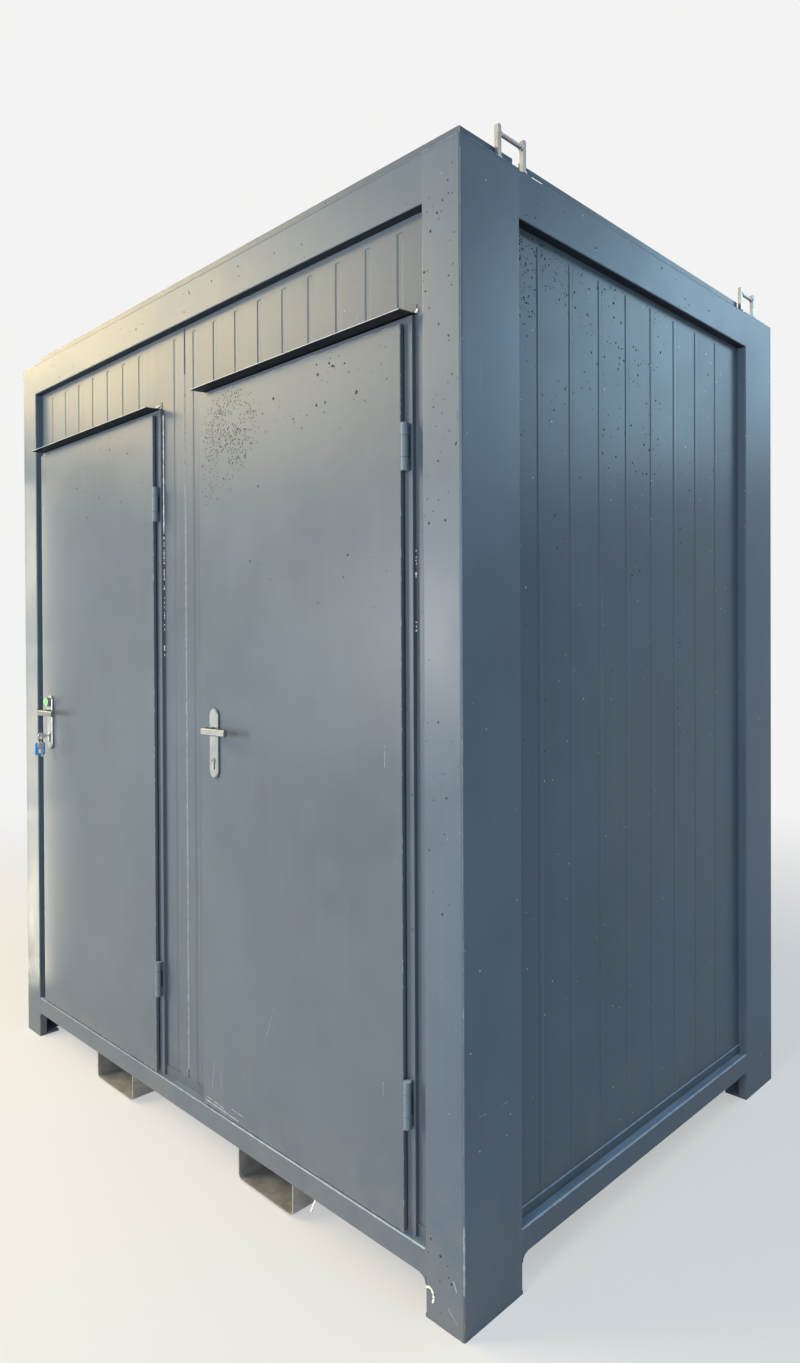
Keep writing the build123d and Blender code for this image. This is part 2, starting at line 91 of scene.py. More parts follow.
def add(tree, kind, inputs=(), **settings):
    """Add one node, with its inputs by name or number."""
    node = tree.nodes.new(kind)
    for name, value in settings.items():
        setattr(node, name, value)
    for key, value in dict(inputs).items():
        plug(tree, node.inputs[key], value)
    return node


def out(tree, kind, inputs, **settings):
    """The first output of a new node."""
    return add(tree, kind, inputs, **settings).outputs[0]


def calc(tree, operation, *values):
    return out(tree, "ShaderNodeMath", enumerate(values), operation=operation)


def times(tree, first, second):
    return calc(tree, "MULTIPLY", first, second)


def apart(tree, first, second):
    """How far apart two numbers are."""
    return calc(tree, "ABSOLUTE", calc(tree, "SUBTRACT", first, second))


def ramp(tree, value, start, end, low=0.0, high=1.0, kind="LINEAR"):
    """From low at start to high at end, and level on both sides."""
    inputs = enumerate((value, start, end, low, high))
    return out(tree, "ShaderNodeMapRange", inputs, interpolation_type=kind)


def step(tree, *values):
    """A ramp that starts and ends smoothly."""
    return ramp(tree, *values, kind="SMOOTHSTEP")


def vector_calc(tree, operation, *values):
    """A vector, or a number where the operation measures."""
    node = add(tree, "ShaderNodeVectorMath", enumerate(values), operation=operation)
    return node.outputs["Value" if operation in ("DISTANCE", "DOT_PRODUCT", "LENGTH") else "Vector"]


def stretched(tree, vector, amounts):
    """A vector with each axis scaled by its own amount."""
    return vector_calc(tree, "MULTIPLY", vector, amounts)


def lengthened(tree, vector, amount):
    return out(tree, "ShaderNodeVectorMath", {0: vector, "Scale": amount}, operation="SCALE")


def joined(tree, x=0.0, y=0.0, z=0.0):
    """A vector made of three numbers."""
    return out(tree, "ShaderNodeCombineXYZ", {0: x, 1: y, 2: z})


def split(tree, vector):
    """The three numbers of a vector."""
    return add(tree, "ShaderNodeSeparateXYZ", {0: vector}).outputs


def noise(tree, vector, scale, detail=2.0, roughness=0.5, output="Fac"):
    inputs = {"Vector": vector, "Scale": scale, "Detail": detail, "Roughness": roughness}
    return add(tree, "ShaderNodeTexNoise", inputs).outputs[output]


def cells(tree, given):
    """A random pattern of cells: how far the nearest middle is, and the cell's own random numbers."""
    found = add(tree, "ShaderNodeTexVoronoi", {"Vector": given["Vector"], "Scale": given["Scale"]}).outputs
    return found["Distance"], add(tree, "ShaderNodeSeparateColor", {0: found["Color"]}).outputs


def scaled(colour, amount):
    return tuple(min(1.0, part * amount) for part in colour)


def tint(tree, factor, first, second):
    """The first colour, turned towards the second by the factor."""
    node = add(tree, "ShaderNodeMix", {0: factor}, data_type="RGBA")
    for index, value in ((6, first), (7, second)):
        is_plain = not isinstance(value, bpy.types.NodeSocket)
        plug(tree, node.inputs[index], (*value[:3], 1) if is_plain else value)
    return node.outputs[2]


def mottled(tree, tone, colour, dark, pale):
    """A colour that goes with the tone from a dark to a pale share of itself."""
    return tint(tree, tone, scaled(colour, dark), scaled(colour, pale))


def covered(tree, shade, layers):
    """A colour under layers, each a mask, a strength and a colour."""
    for mask, strength, colour in layers:
        shade = tint(tree, times(tree, mask, strength), shade, colour)
    return shade


shared_trees = {}


def once(maker):
    """The tree that a maker builds at its first use."""
    if maker not in shared_trees:
        shared_trees[maker] = maker()
    return shared_trees[maker]


# Shader groups
def new_group(name, outputs=("Mask",), **inputs):
    """An empty shader group with a Vector, other named inputs with their defaults, and number outputs."""
    tree = bpy.data.node_groups.new(name, "ShaderNodeTree")
    tree.interface.new_socket("Vector", in_out="INPUT", socket_type="NodeSocketVector")
    for label, default in inputs.items():
        kind = "NodeSocketFloat" if isinstance(default, float) else "NodeSocketVector"
        socket = tree.interface.new_socket(label.replace("_", " "), in_out="INPUT", socket_type=kind)
        socket.default_value = default
    for label in outputs:
        tree.interface.new_socket(label, in_out="OUTPUT", socket_type="NodeSocketFloat")
    return tree, tree.nodes.new("NodeGroupInput").outputs, tree.nodes.new("NodeGroupOutput").inputs


def use(tree, maker, vector, **inputs):
    """One of the shared effects, with its own values."""
    node = add(tree, "ShaderNodeGroup", node_tree=once(maker))
    feed(tree, node.inputs, Vector=vector, **inputs)
    return node.outputs


def grain_group():
    """Cloudy tone, the fine peel of sprayed paint and the slow waves of thin sheet."""
    tree, given, result = new_group("Sprayed paint", ("Tone", "Peel", "Wave"), Peel_Scale=420.0)
    place = given["Vector"]
    broad, patchy = noise(tree, place, 1.7, 3.0), noise(tree, place, 9.0, 3.0)
    tone = calc(tree, "ADD", times(tree, broad, 0.65), times(tree, patchy, 0.35))
    feed(tree, result, Tone=step(tree, tone, 0.32, 0.68), Wave=noise(tree, place, 3.5, 1.0),
         Peel=noise(tree, place, given["Peel Scale"], 1.0))
    return tree


def speck_group():
    """Scattered dots, one in some of the cells of a random pattern."""
    tree, given, result = new_group("Specks", Scale=90.0, Share=0.2, Size=0.25)
    away, draws = cells(tree, given)
    chosen = calc(tree, "LESS_THAN", draws[0], given["Share"])
    radius = times(tree, given["Size"], step(tree, draws[1], 0.0, 1.0, 0.35, 1.0))
    dot = step(tree, away, radius, times(tree, radius, 0.6))
    feed(tree, result, Mask=times(tree, chosen, dot))
    return tree


def run_group():
    """Faint runs left by water on upright sheet."""
    tree, given, result = new_group("Water runs", Width=0.02)
    across = calc(tree, "DIVIDE", 1.0, given["Width"])
    lines = noise(tree, stretched(tree, given["Vector"], joined(tree, across, across, 1.6)), 1.0, 3.0, 0.6)
    patches = noise(tree, given["Vector"], 2.6)
    feed(tree, result, Mask=times(tree, step(tree, lines, 0.5, 0.75), step(tree, patches, 0.4, 0.62)))
    return tree


def splash_group():
    """Dust and splashes that thin out above the ground."""
    tree, given, result = new_group("Ground splash", Height=0.5)
    height = split(tree, given["Vector"])[2]
    patches = noise(tree, given["Vector"], 11.0, 5.0, 0.65)
    reach = times(tree, given["Height"], step(tree, patches, 0.25, 0.75, 0.3, 1.0))
    fall = step(tree, height, reach, 0.0)
    feed(tree, result, Mask=times(tree, fall, step(tree, patches, 0.2, 0.7, 0.35, 1.0)))
    return tree


def edge_group():
    """Wear along the outer edges of a box, broken up so that it comes and goes."""
    tree, given, result = new_group(
        "Edge wear", Middle=(0.0, 0.0, 0.0), Half_Size=(1.0, 1.0, 1.0), Width=0.004)
    axes = zip(*(split(tree, given[name]) for name in ("Vector", "Middle", "Half Size")))
    x, y, z = (calc(tree, "SUBTRACT", half, apart(tree, value, middle)) for value, middle, half in axes)
    pairs = [calc(tree, "MAXIMUM", first, second) for first, second in ((x, y), (x, z), (y, z))]
    inside = calc(tree, "MINIMUM", pairs[0], calc(tree, "MINIMUM", pairs[1], pairs[2]))
    rough = noise(tree, given["Vector"], 38.0, 5.0, 0.7)
    width = times(tree, given["Width"], step(tree, rough, 0.42, 0.72))
    worn = step(tree, inside, width, times(tree, width, 0.5))
    feed(tree, result, Mask=times(tree, worn, calc(tree, "GREATER_THAN", width, 0.0003)))
    return tree


def scratch_or_highlight_group():
    """One scratch, or a painted highlight along a fold or bend, between two points, with gaps where it was
    light.
    """
    tree, given, result = new_group(
        "Scratch or highlight line", Start=(0.0, 0.0, 0.0), End=(1.0, 0.0, 0.0), Width=0.002, Gaps=0.5)
    along = vector_calc(tree, "SUBTRACT", given["End"], given["Start"])
    point = vector_calc(tree, "SUBTRACT", given["Vector"], given["Start"])
    length = vector_calc(tree, "DOT_PRODUCT", along, along)
    reach = calc(tree, "DIVIDE", vector_calc(tree, "DOT_PRODUCT", point, along), length)
    nearest = lengthened(tree, along, out(tree, "ShaderNodeClamp", {0: reach}))
    wander = calc(tree, "SUBTRACT", noise(tree, given["Vector"], 60.0), 0.5)
    gap = vector_calc(tree, "DISTANCE", point, nearest)
    gap = calc(tree, "ADD", gap, times(tree, wander, given["Width"]))
    line = step(tree, calc(tree, "ABSOLUTE", gap), given["Width"], 0.0)
    bare = times(tree, given["Gaps"], 0.9)
    skip = step(tree, noise(tree, given["Vector"], 45.0), calc(tree, "SUBTRACT", bare, 0.07),
                calc(tree, "ADD", bare, 0.1))
    feed(tree, result, Mask=times(tree, line, skip))
    return tree


def spangle_group():
    """The crystal pattern of hot dip zinc, with its dull bloom."""
    tree, given, result = new_group("Zinc spangle", ("Tone", "Bloom"), Scale=110.0)
    bloom = step(tree, noise(tree, given["Vector"], 16.0, 5.0, 0.65), 0.36, 0.66)
    feed(tree, result, Tone=cells(tree, given)[1][0], Bloom=bloom)
    return tree


def line_group():
    """Fine lines along one axis."""
    tree, given, result = new_group("Fine lines", ("Tone",), Stretch=(2000.0, 2000.0, 30.0))
    feed(tree, result, Tone=noise(tree, stretched(tree, given["Vector"], given["Stretch"]), 1.0))
    return tree


# Materials
def new_material(name, **shader):
    """A material with a Principled shader, and the Object coordinates that its patterns follow."""
    material = bpy.data.materials.new(name)
    material.use_nodes = True
    tree = material.node_tree
    surface = next(node for node in tree.nodes if node.type == "BSDF_PRINCIPLED")
    feed(tree, surface.inputs, **shader)
    return material, tree, surface, tree.nodes.new("ShaderNodeTexCoord").outputs["Object"]


def bumped(tree, surface, *layers):
    """Stack bumps, each a height, a strength and a depth in metres."""
    below = {}
    for height, strength, depth in layers:
        inputs = {"Height": height, "Strength": strength, "Distance": depth, **below}
        below = {"Normal": out(tree, "ShaderNodeBump", inputs)}
    feed(tree, surface.inputs, **below)


def facing(tree, start, end):
    """One on faces that look up, or down where the two limits are negative, and nought on the others."""
    normal = add(tree, "ShaderNodeTexCoord").outputs["Normal"]
    return step(tree, split(tree, normal)[2], start, end)


def painted(name, colour, wear=None, lining=None, marks=(), specks=0.2, dots=0.1, splash=0.45, underside_shade=0.0,
            sheen=0.12):
    """Sprayed paint on sheet steel.

    Wear is a box's two corners and the width of its worn edges. Marks are scratches, and painted highlight
    lines along folds and bends: start, end, width, strength and gaps. Faces that look up get dust and a
    painted highlight, and faces that look down get painted shade.
    """
    paint = bpy.context.scene.cabin_paint
    material, tree, surface, place = new_material(name, Specular_IOR_Level=sheen)
    grain = use(tree, grain_group, place)
    runs = use(tree, run_group, place, Width=0.018)["Mask"]
    grime = use(tree, splash_group, place, Height=splash)["Mask"]
    dirt = use(tree, speck_group, place, Scale=46.0, Share=specks * paint.specks, Size=0.17)["Mask"]
    light_dots = use(tree, speck_group, place, Scale=30.0, Share=dots, Size=0.075)["Mask"]
    # Faces that look up turn towards a paler copy of the paint: dust, and a painted highlight from the light
    # above.
    top_dust_and_light = times(tree, facing(tree, 0.5, 0.9), step(tree, grain["Tone"], 0.1, 0.9, 0.5, 1.0))
    layers = [
        (runs, paint.runs, scaled(paint.dust_colour, 0.8)),
        (grime, paint.splash, paint.dust_colour),
        (dirt, 0.7, scaled(colour, 0.3)),
        (light_dots, 1.0, scaled(paint.dust_colour, 2.6)),
        (top_dust_and_light, paint.ledges, scaled(colour, 2.6)),
    ]
    if wear:
        low, high, width = wear
        middle, half = (low + high) / 2, (high - low) / 2
        edges = use(tree, edge_group, place, Middle=middle, Half_Size=half, Width=width)
        layers.append((edges["Mask"], paint.wear, paint.worn_and_highlight_colour))
    for start, end, width, strength, gaps in marks:
        line = use(tree, scratch_or_highlight_group, place, Start=start, End=end, Width=width, Gaps=gaps)
        layers.append((line["Mask"], strength, paint.worn_and_highlight_colour))
    # Faces that look down are turned almost black: painted shade under the rails and drip caps.
    if underside_shade:
        layers.append((facing(tree, -0.6, -0.9), underside_shade, scaled(colour, 0.06)))
    shade = covered(tree, mottled(tree, grain["Tone"], colour, 0.93, 1.08), layers)
    if lining:
        shade = lined(tree, place, shade, lining)
    roughness = step(tree, grain["Tone"], 0.0, 1.0, paint.gloss - 0.03, paint.gloss + 0.04)
    roughness = calc(tree, "ADD", roughness, times(tree, grime, 0.25))
    feed(tree, surface.inputs, Base_Color=shade, Roughness=roughness)
    bumped(tree, surface, (grain["Wave"], 0.25, 0.004), (grain["Peel"], 0.05, 0.0004), (dirt, 0.4, 0.0006))
    return material


def lined(tree, place, shade, colour):
    """The pale coat on the faces that look into the room."""
    x, y, z = split(tree, place)
    wall, margin = INNER_FACE - FRONT, 0.001
    inside_x = calc(tree, "LESS_THAN", apart(tree, x, 0.0), RIGHT - wall + margin)
    inside_y = calc(tree, "LESS_THAN", apart(tree, y, MIDDLE_Y), (BACK - FRONT) / 2 - wall + margin)
    below = calc(tree, "LESS_THAN", z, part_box("ceiling_panel")[0].z + margin)
    return tint(tree, times(tree, times(tree, inside_x, inside_y), below), shade, colour)


def zinc(name, colour, dirt):
    """Hot dip zinc, dirty near the ground."""
    material, tree, surface, place = new_material(name, Metallic=1.0)
    pattern = use(tree, spangle_group, place)
    grime = use(tree, splash_group, place, Height=0.3)["Mask"]
    shade = covered(tree, mottled(tree, pattern["Tone"], colour, 0.86, 1.1), [
        (pattern["Bloom"], 0.4, scaled(colour, 1.25)), (grime, dirt, (0.12, 0.105, 0.085))])
    roughness = step(tree, pattern["Bloom"], 0.0, 1.0, 0.32, 0.52)
    feed(tree, surface.inputs, Base_Color=shade,
         Roughness=calc(tree, "ADD", roughness, times(tree, grime, 0.3)),
         Metallic=calc(tree, "SUBTRACT", 1.0, times(tree, grime, dirt)))
    bumped(tree, surface, (pattern["Tone"], 0.1, 0.0003), (pattern["Bloom"], 0.15, 0.0005))
    return material


def satin_metal(name, colour, roughness, stretch):
    """Satin metal with fine lines and finger marks."""
    material, tree, surface, place = new_material(name, Metallic=1.0)
    lines = use(tree, line_group, place, Stretch=stretch)["Tone"]
    smudge = step(tree, noise(tree, place, 45.0, 3.0), 0.4, 0.65)
    shade = covered(tree, mottled(tree, lines, colour, 0.95, 1.05), [(smudge, 0.15, scaled(colour, 0.8))])
    feed(tree, surface.inputs, Base_Color=shade,
         Roughness=step(tree, smudge, 0.0, 1.0, roughness, roughness + 0.1))
    bumped(tree, surface, (lines, 0.08, 0.0001))
    return material


def moulded(name, colour, roughness, scale, height=0.0002, spread=0.12):
    """Moulded rubber or plastic, sealant or vinyl, with a fine uneven skin."""
    material, tree, surface, place = new_material(name)
    cloud = step(tree, noise(tree, place, scale / 20, 3.0), 0.3, 0.7)
    skin = noise(tree, place, scale)
    feed(tree, surface.inputs, Base_Color=mottled(tree, cloud, colour, 1 - spread, 1 + spread),
         Roughness=step(tree, skin, 0.2, 0.8, roughness - 0.06, roughness + 0.06))
    bumped(tree, surface, (skin, 0.3, height))
    return material


def indicator_material(name, colour, rim):
    """A green window in a nickel rim."""
    material, tree, surface, place = new_material(name, Coat_Weight=0.5, Coat_Roughness=0.08)
    low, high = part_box("occupancy_rosette")
    centre = (low + high) / 2
    away = vector_calc(tree, "DISTANCE", stretched(tree, place, (1, 0, 1)), (centre.x, 0, centre.z))
    rim_radius, window_radius = 0.0142, 0.0136
    window = step(tree, away, rim_radius, window_radius)
    cloud = noise(tree, place, 90.0)
    green = mottled(tree, cloud, colour, 0.85, 1.15)
    feed(tree, surface.inputs, Base_Color=tint(tree, window, rim, green),
         Metallic=calc(tree, "SUBTRACT", 1.0, window), Roughness=step(tree, window, 0.0, 1.0, 0.25, 0.4))
    bumped(tree, surface, (window, 0.6, 0.0006), (cloud, 0.05, 0.0002))
    return material


def rain_material(name, colour):
    """Water on dark paint: darker than the paint round it, with a hard glint."""
    material, tree, surface, place = new_material(name, IOR=1.33, Specular_IOR_Level=0.5)
    ripple = noise(tree, place, 300.0, 1.0)
    feed(tree, surface.inputs, Base_Color=mottled(tree, ripple, colour, 0.12, 0.35),
         Roughness=step(tree, ripple, 0.0, 1.0, 0.04, 0.12))
    return material


def coat(material, *names):
    """Give CAD nodes a material."""
    for name in names:
        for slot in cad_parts[name].material_slots:
            slot.material = material


def matching(*words):
    """The CAD nodes whose names hold one of the words."""
    found = [name for name in sorted(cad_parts) if any(word in name for word in words)]
    if not found:
        raise RuntimeError(f"no node is named after {words}")
    return found


# Geometry helpers
def new_object(name, data):
    item = bpy.data.objects.new(name, data)
    bpy.context.scene.collection.objects.link(item)
    return item


def new_mesh(name, points, edges=(), faces=()):
    mesh = bpy.data.meshes.new(name)
    mesh.from_pydata([tuple(point) for point in points], edges, faces)
    return mesh


def worked_out(holder):
    """The plain mesh that comes out of an object's curve or modifier. The object itself is removed."""
    mesh = bpy.data.meshes.new_from_object(holder.evaluated_get(bpy.context.evaluated_depsgraph_get()))
    holder.modifiers.clear()
    bpy.data.objects.remove(holder)
    return mesh


def new_piece(name, mesh, body, material=None, smooth=False):
    """Put a mesh in the scene as a piece that rides on a body."""
    piece = new_object(name, mesh)
    if material:
        mesh.materials.clear()
        mesh.materials.append(material)
    if smooth:
        mesh.shade_smooth()
    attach(piece, body)
    return piece


def wires(name, runs):
    """A mesh of edges only: each run is a list of points, closed when it ends where it starts."""
    points, edges = [], []
    for run in runs:
        closed = (Vector(run[0]) - Vector(run[-1])).length < SAME_POINT
        run = run[:-1] if closed else run
        first = len(points)
        points += run
        edges += [(first + index, first + index + 1) for index in range(len(run) - 1)]
        if closed:
            edges.append((len(points) - 1, first))
    return new_mesh(name, points, edges)


def points_facing(name, rows):
    """A mesh of loose points, each with the direction that it faces."""
    mesh = new_mesh(name, [point for point, _ in rows])
    layer = mesh.attributes.new("facing", "FLOAT_VECTOR", "POINT")
    layer.data.foreach_set("vector", [part for _, outwards in rows for part in outwards])
    return mesh


def patch_mesh(name, patches):
    """Flat four-cornered patches for drops, each listed so that its face looks outwards."""
    faces = [tuple(range(4 * index, 4 * index + 4)) for index in range(len(patches))]
    return new_mesh(name, [point for patch in patches for point in patch], faces=faces)


def geo(tree, kind, inputs=(), **settings):
    """The first output of a new geometry node."""
    return out(tree, f"GeometryNode{kind}", inputs, **settings)


def new_maker(name, **inputs):
    """An empty geometry tree with a geometry input, named inputs for its sizes, and a material."""
    tree = bpy.data.node_groups.new(name, "GeometryNodeTree")
    for label, kind in {"Geometry": "Geometry", **inputs, "Material": "Material"}.items():
        tree.interface.new_socket(label.replace("_", " "), in_out="INPUT", socket_type=f"NodeSocket{kind}")
    tree.interface.new_socket("Geometry", in_out="OUTPUT", socket_type="NodeSocketGeometry")
    return tree, tree.nodes.new("NodeGroupInput").outputs


def finish_maker(tree, shape, given, smooth=True):
    """End a geometry tree with real, shaded geometry in the given material."""
    shape = geo(tree, "RealizeInstances", {0: shape})
    shape = geo(tree, "SetShadeSmooth", {0: shape, "Shade Smooth": smooth})
    shape = geo(tree, "SetMaterial", {0: shape, "Material": given["Material"]})
    tree.links.new(shape, tree.nodes.new("NodeGroupOutput").inputs[0])
    return tree


def random_value(tree, low, high, seed, number=0):
    """A random number for each element. The number keeps two draws of one tree apart."""
    draw = calc(tree, "ADD", seed, float(number))
    inputs = {2: low, 3: high, "ID": geo(tree, "InputIndex"), "Seed": draw}
    return add(tree, "FunctionNodeRandomValue", inputs, data_type="FLOAT").outputs[1]


def beads_maker():
    """Lumps set close together along lines: weld beads, and sealant pressed out of a joint."""
    tree, given = new_maker("Beads along a line", Spacing="Float", Width="Float", Length="Float",
                            Unevenness="Float", Missing="Float", Seed="Int")
    seed = given["Seed"]
    line = geo(tree, "MeshToCurve", {0: given["Geometry"]})
    line = geo(tree, "ResampleCurve", {0: line, "Length": given["Spacing"]}, mode="LENGTH")
    lump = geo(tree, "MeshIcoSphere", {"Radius": 0.5, "Subdivisions": 2})
    least = calc(tree, "SUBTRACT", 1.0, given["Unevenness"])
    across = times(tree, random_value(tree, least, 1.0, seed, 1), given["Width"])
    along = times(tree, random_value(tree, least, 1.0, seed, 2), given["Length"])
    kept = calc(tree, "GREATER_THAN", random_value(tree, 0.0, 1.0, seed, 3), given["Missing"])
    turn = out(tree, "FunctionNodeAlignRotationToVector", {"Vector": geo(tree, "InputTangent")}, axis="Z")
    shape = geo(tree, "InstanceOnPoints", {
        "Points": line, "Selection": kept, "Instance": lump, "Rotation": turn,
        "Scale": joined(tree, across, across, along)})
    shape = geo(tree, "RealizeInstances", {0: shape})
    dents, middle = 260.0, (0.5, 0.5, 0.5)
    rough = noise(tree, geo(tree, "InputPosition"), dents, 1.0, output="Color")
    push = vector_calc(tree, "SUBTRACT", rough, middle)
    push = lengthened(tree, push, times(tree, given["Unevenness"], given["Width"]))
    return finish_maker(tree, geo(tree, "SetPosition", {0: shape, "Offset": push}), given)


def seal_maker():
    """A rubber bulb that follows a frame, with rounded corners."""
    tree, given = new_maker("Seal round an opening", Corner_Radius="Float", Width="Float", Height="Float")
    line = geo(tree, "MeshToCurve", {0: given["Geometry"]})
    line = geo(tree, "FilletCurve", {0: line, "Radius": given["Corner Radius"], "Count": 6}, mode="POLY")
    line = geo(tree, "SetCurveNormal", {0: line, "Normal": (0.0, -1.0, 0.0)}, mode="FREE")
    bulb = geo(tree, "CurvePrimitiveCircle", {"Resolution": 14, "Radius": 0.5})
    size = joined(tree, given["Height"], given["Width"], 1.0)
    bulb = geo(tree, "Transform", {0: bulb, "Scale": size})
    return finish_maker(tree, geo(tree, "CurveToMesh", {"Curve": line, "Profile Curve": bulb}), given)


def fixings_maker():
    """A hexagon head on a washer at each point, standing on the face that the point looks out of."""
    tree, given = new_maker("Fixings on points", Head_Width="Float", Head_Height="Float",
                            Washer_Width="Float", Washer_Height="Float", Seed="Int")

    def disc(width, height, corners, low):
        radius = times(tree, width, 0.5)
        shape = geo(tree, "MeshCone", {
            "Vertices": corners, "Side Segments": 1, "Depth": height,
            "Radius Bottom": radius, "Radius Top": times(tree, radius, 0.9)})
        return geo(tree, "Transform", {0: shape, "Translation": joined(tree, z=low)})

    washer = disc(given["Washer Width"], given["Washer Height"], corners=16, low=0.0)
    head = disc(given["Head Width"], given["Head Height"], corners=6, low=given["Washer Height"])
    fixing = add(tree, "GeometryNodeJoinGeometry")
    for part in (washer, head):
        tree.links.new(part, fixing.inputs[0])
    outwards = geo(tree, "InputNamedAttribute", {"Name": "facing"}, data_type="FLOAT_VECTOR")
    spin = joined(tree, z=random_value(tree, 0.0, math.tau, given["Seed"]))
    spin = out(tree, "FunctionNodeEulerToRotation", {0: spin})
    turn = out(tree, "FunctionNodeAlignRotationToVector", {"Rotation": spin, "Vector": outwards}, axis="Z")
    shape = geo(tree, "InstanceOnPoints", {
        "Points": given["Geometry"], "Instance": fixing.outputs[0], "Rotation": turn})
    return finish_maker(tree, shape, given, smooth=False)


def drops_maker():
    """Drops of rain scattered over patches, each a low dome half sunk in the face."""
    tree, given = new_maker("Drops on a patch", Density="Float", Smallest="Float", Largest="Float",
                            Middle="Vector", Reach="Float", Seed="Int")
    seed, place = given["Seed"], geo(tree, "InputPosition")
    # The full core of a cloud, a drop's height for its width, and how rare the large drops are
    core, flatness, rarity = 0.35, 0.55, 2.5
    away = vector_calc(tree, "DISTANCE", place, given["Middle"])
    fade = ramp(tree, away, times(tree, given["Reach"], core), given["Reach"], 1.0, 0.0)
    patchy = times(tree, ramp(tree, noise(tree, place, 6.0, 1.0), 0.35, 0.65), fade)
    scatter = {"Mesh": given["Geometry"], "Density": given["Density"], "Seed": seed}
    points = add(tree, "GeometryNodeDistributePointsOnFaces", scatter, distribute_method="RANDOM").outputs
    kept = calc(tree, "LESS_THAN", random_value(tree, 0.0, 1.0, seed, 5), patchy)
    drop = geo(tree, "MeshIcoSphere", {"Radius": 0.5, "Subdivisions": 2})
    drop = geo(tree, "Transform", {0: drop, "Scale": (1.0, 1.0, flatness)})
    draw = calc(tree, "POWER", random_value(tree, 0.0, 1.0, seed, 7), rarity)
    size = ramp(tree, draw, 0.0, 1.0, given["Smallest"], given["Largest"])
    shape = geo(tree, "InstanceOnPoints", {
        "Points": points["Points"], "Selection": kept, "Instance": drop, "Rotation": points["Rotation"],
        "Scale": size})
    return finish_maker(tree, shape, given)


def grow(name, source, rows, maker, body, material, slot=None, **inputs):
    """Run a geometry tree on a source mesh made of rows, and keep the plain mesh that comes out."""
    holder = new_object(name, source(name, rows))
    modifier = holder.modifiers.new("Shape", "NODES")
    modifier.node_group = once(maker)
    identifiers = {item.name: item.identifier for item in modifier.node_group.interface.items_tree
                   if item.item_type == "SOCKET" and item.in_out == "INPUT"}
    for label, value in {**inputs, "Material": material}.items():
        modifier[identifiers[label.replace("_", " ")]] = value
    mesh = worked_out(holder)
    if not mesh.polygons:
        raise RuntimeError(f"{name} came out empty")
    if "facing" in mesh.attributes:
        mesh.attributes.remove(mesh.attributes["facing"])
    new_piece(name, mesh, body, material)


# Settings
def setting(kind, **limits):
    """A function that makes settings of one kind from a name, a description and a default."""
    def make(name, description, value):
        return kind(name=name, description=description, default=value, min=0, **limits)
    return make


colour_setting = setting(bpy.props.FloatVectorProperty, size=3, max=1, subtype="COLOR")
share_setting = setting(bpy.props.FloatProperty, max=1, subtype="FACTOR")
length_setting = setting(bpy.props.FloatProperty, unit="LENGTH", precision=4)
power_setting = setting(bpy.props.FloatProperty, unit="POWER")
number_setting = setting(bpy.props.FloatProperty)


class CabinPaint(bpy.types.PropertyGroup):
    """Colours and wear of the painted steel."""

    frame_colour: colour_setting("Frame", "Colour of posts and rails", (0.092, 0.128, 0.178))
    panel_colour: colour_setting("Panels", "Colour of the ribbed panels", (0.095, 0.124, 0.162))
    door_colour: colour_setting("Doors", "Colour of the doors and their frames", (0.101, 0.131, 0.170))
    trim_colour: colour_setting("Trim", "Colour of drip caps, base trim and roof trim", (0.088, 0.118, 0.156))
    lining_colour: colour_setting("Lining", "Colour of the panels inside the room", (0.62, 0.63, 0.61))
    dust_colour: colour_setting("Dust", "Colour of dried dust and splashes", (0.22, 0.205, 0.18))
    # Also the colour of the painted highlight lines along folds, bends and edges.
    worn_and_highlight_colour: colour_setting("Worn edge", "Colour where the paint has rubbed", (0.42, 0.48, 0.56))
    gloss: share_setting("Roughness", "Roughness of the satin paint", 0.32)
    runs: share_setting("Water runs", "Strength of the runs on upright sheet", 0.22)
    splash: share_setting("Splashes", "Strength of the dust near the ground", 0.35)
    specks: share_setting("Specks", "Share of the dirt specks that show", 0.5)
    wear: share_setting("Edge wear", "Strength of the rubbed edges", 0.6)
    # The pale film on faces that look up is dust and a painted highlight from the light above.
    ledges: share_setting("Ledges", "Strength of the pale film on faces that look up", 0.7)


class CabinFittings(bpy.types.PropertyGroup):
    """Sizes and colours of what is fitted to the cabin."""

    handle_colour: colour_setting("Handles", "Colour of levers and plates", (0.27, 0.29, 0.30))
    nickel_colour: colour_setting("Locks", "Colour of locks, keys and rims", (0.42, 0.42, 0.41))
    window_colour: colour_setting("Indicator", "Colour of the occupancy window", (0.07, 0.52, 0.10))
    tag_colour: colour_setting("Key tag", "Colour of the key's tag", (0.05, 0.30, 0.78))
    zinc_colour: colour_setting("Zinc", "Colour of galvanised steel", (0.46, 0.47, 0.48))
    sealant_colour: colour_setting("Sealant", "Colour of the sealant beside the doors", (0.86, 0.86, 0.83))
    floor_colour: colour_setting("Floor", "Colour of the vinyl floor", (0.27, 0.28, 0.29))
    seal_width: length_setting("Seal width", "Width of the rubber bulb round a doorway", 0.008)
    seal_height: length_setting("Seal height", "How far the rubber bulb stands out", 0.0044)
    weld_width: length_setting("Weld width", "Width of the weld beads at the lugs", 0.006)
    sealant_width: length_setting("Sealant width", "Width of the sealant beads", 0.0048)
    screw_pitch: length_setting("Screw pitch", "Distance between the roof screws", 0.30)
    drop_density: number_setting("Rain drops", "Drops to a square metre, times each shower's share", 900)
    smallest_drop: length_setting("Smallest drop", "Width of the smallest rain drop", 0.0022)
    largest_drop: length_setting("Largest drop", "Width of the largest rain drop", 0.0085)


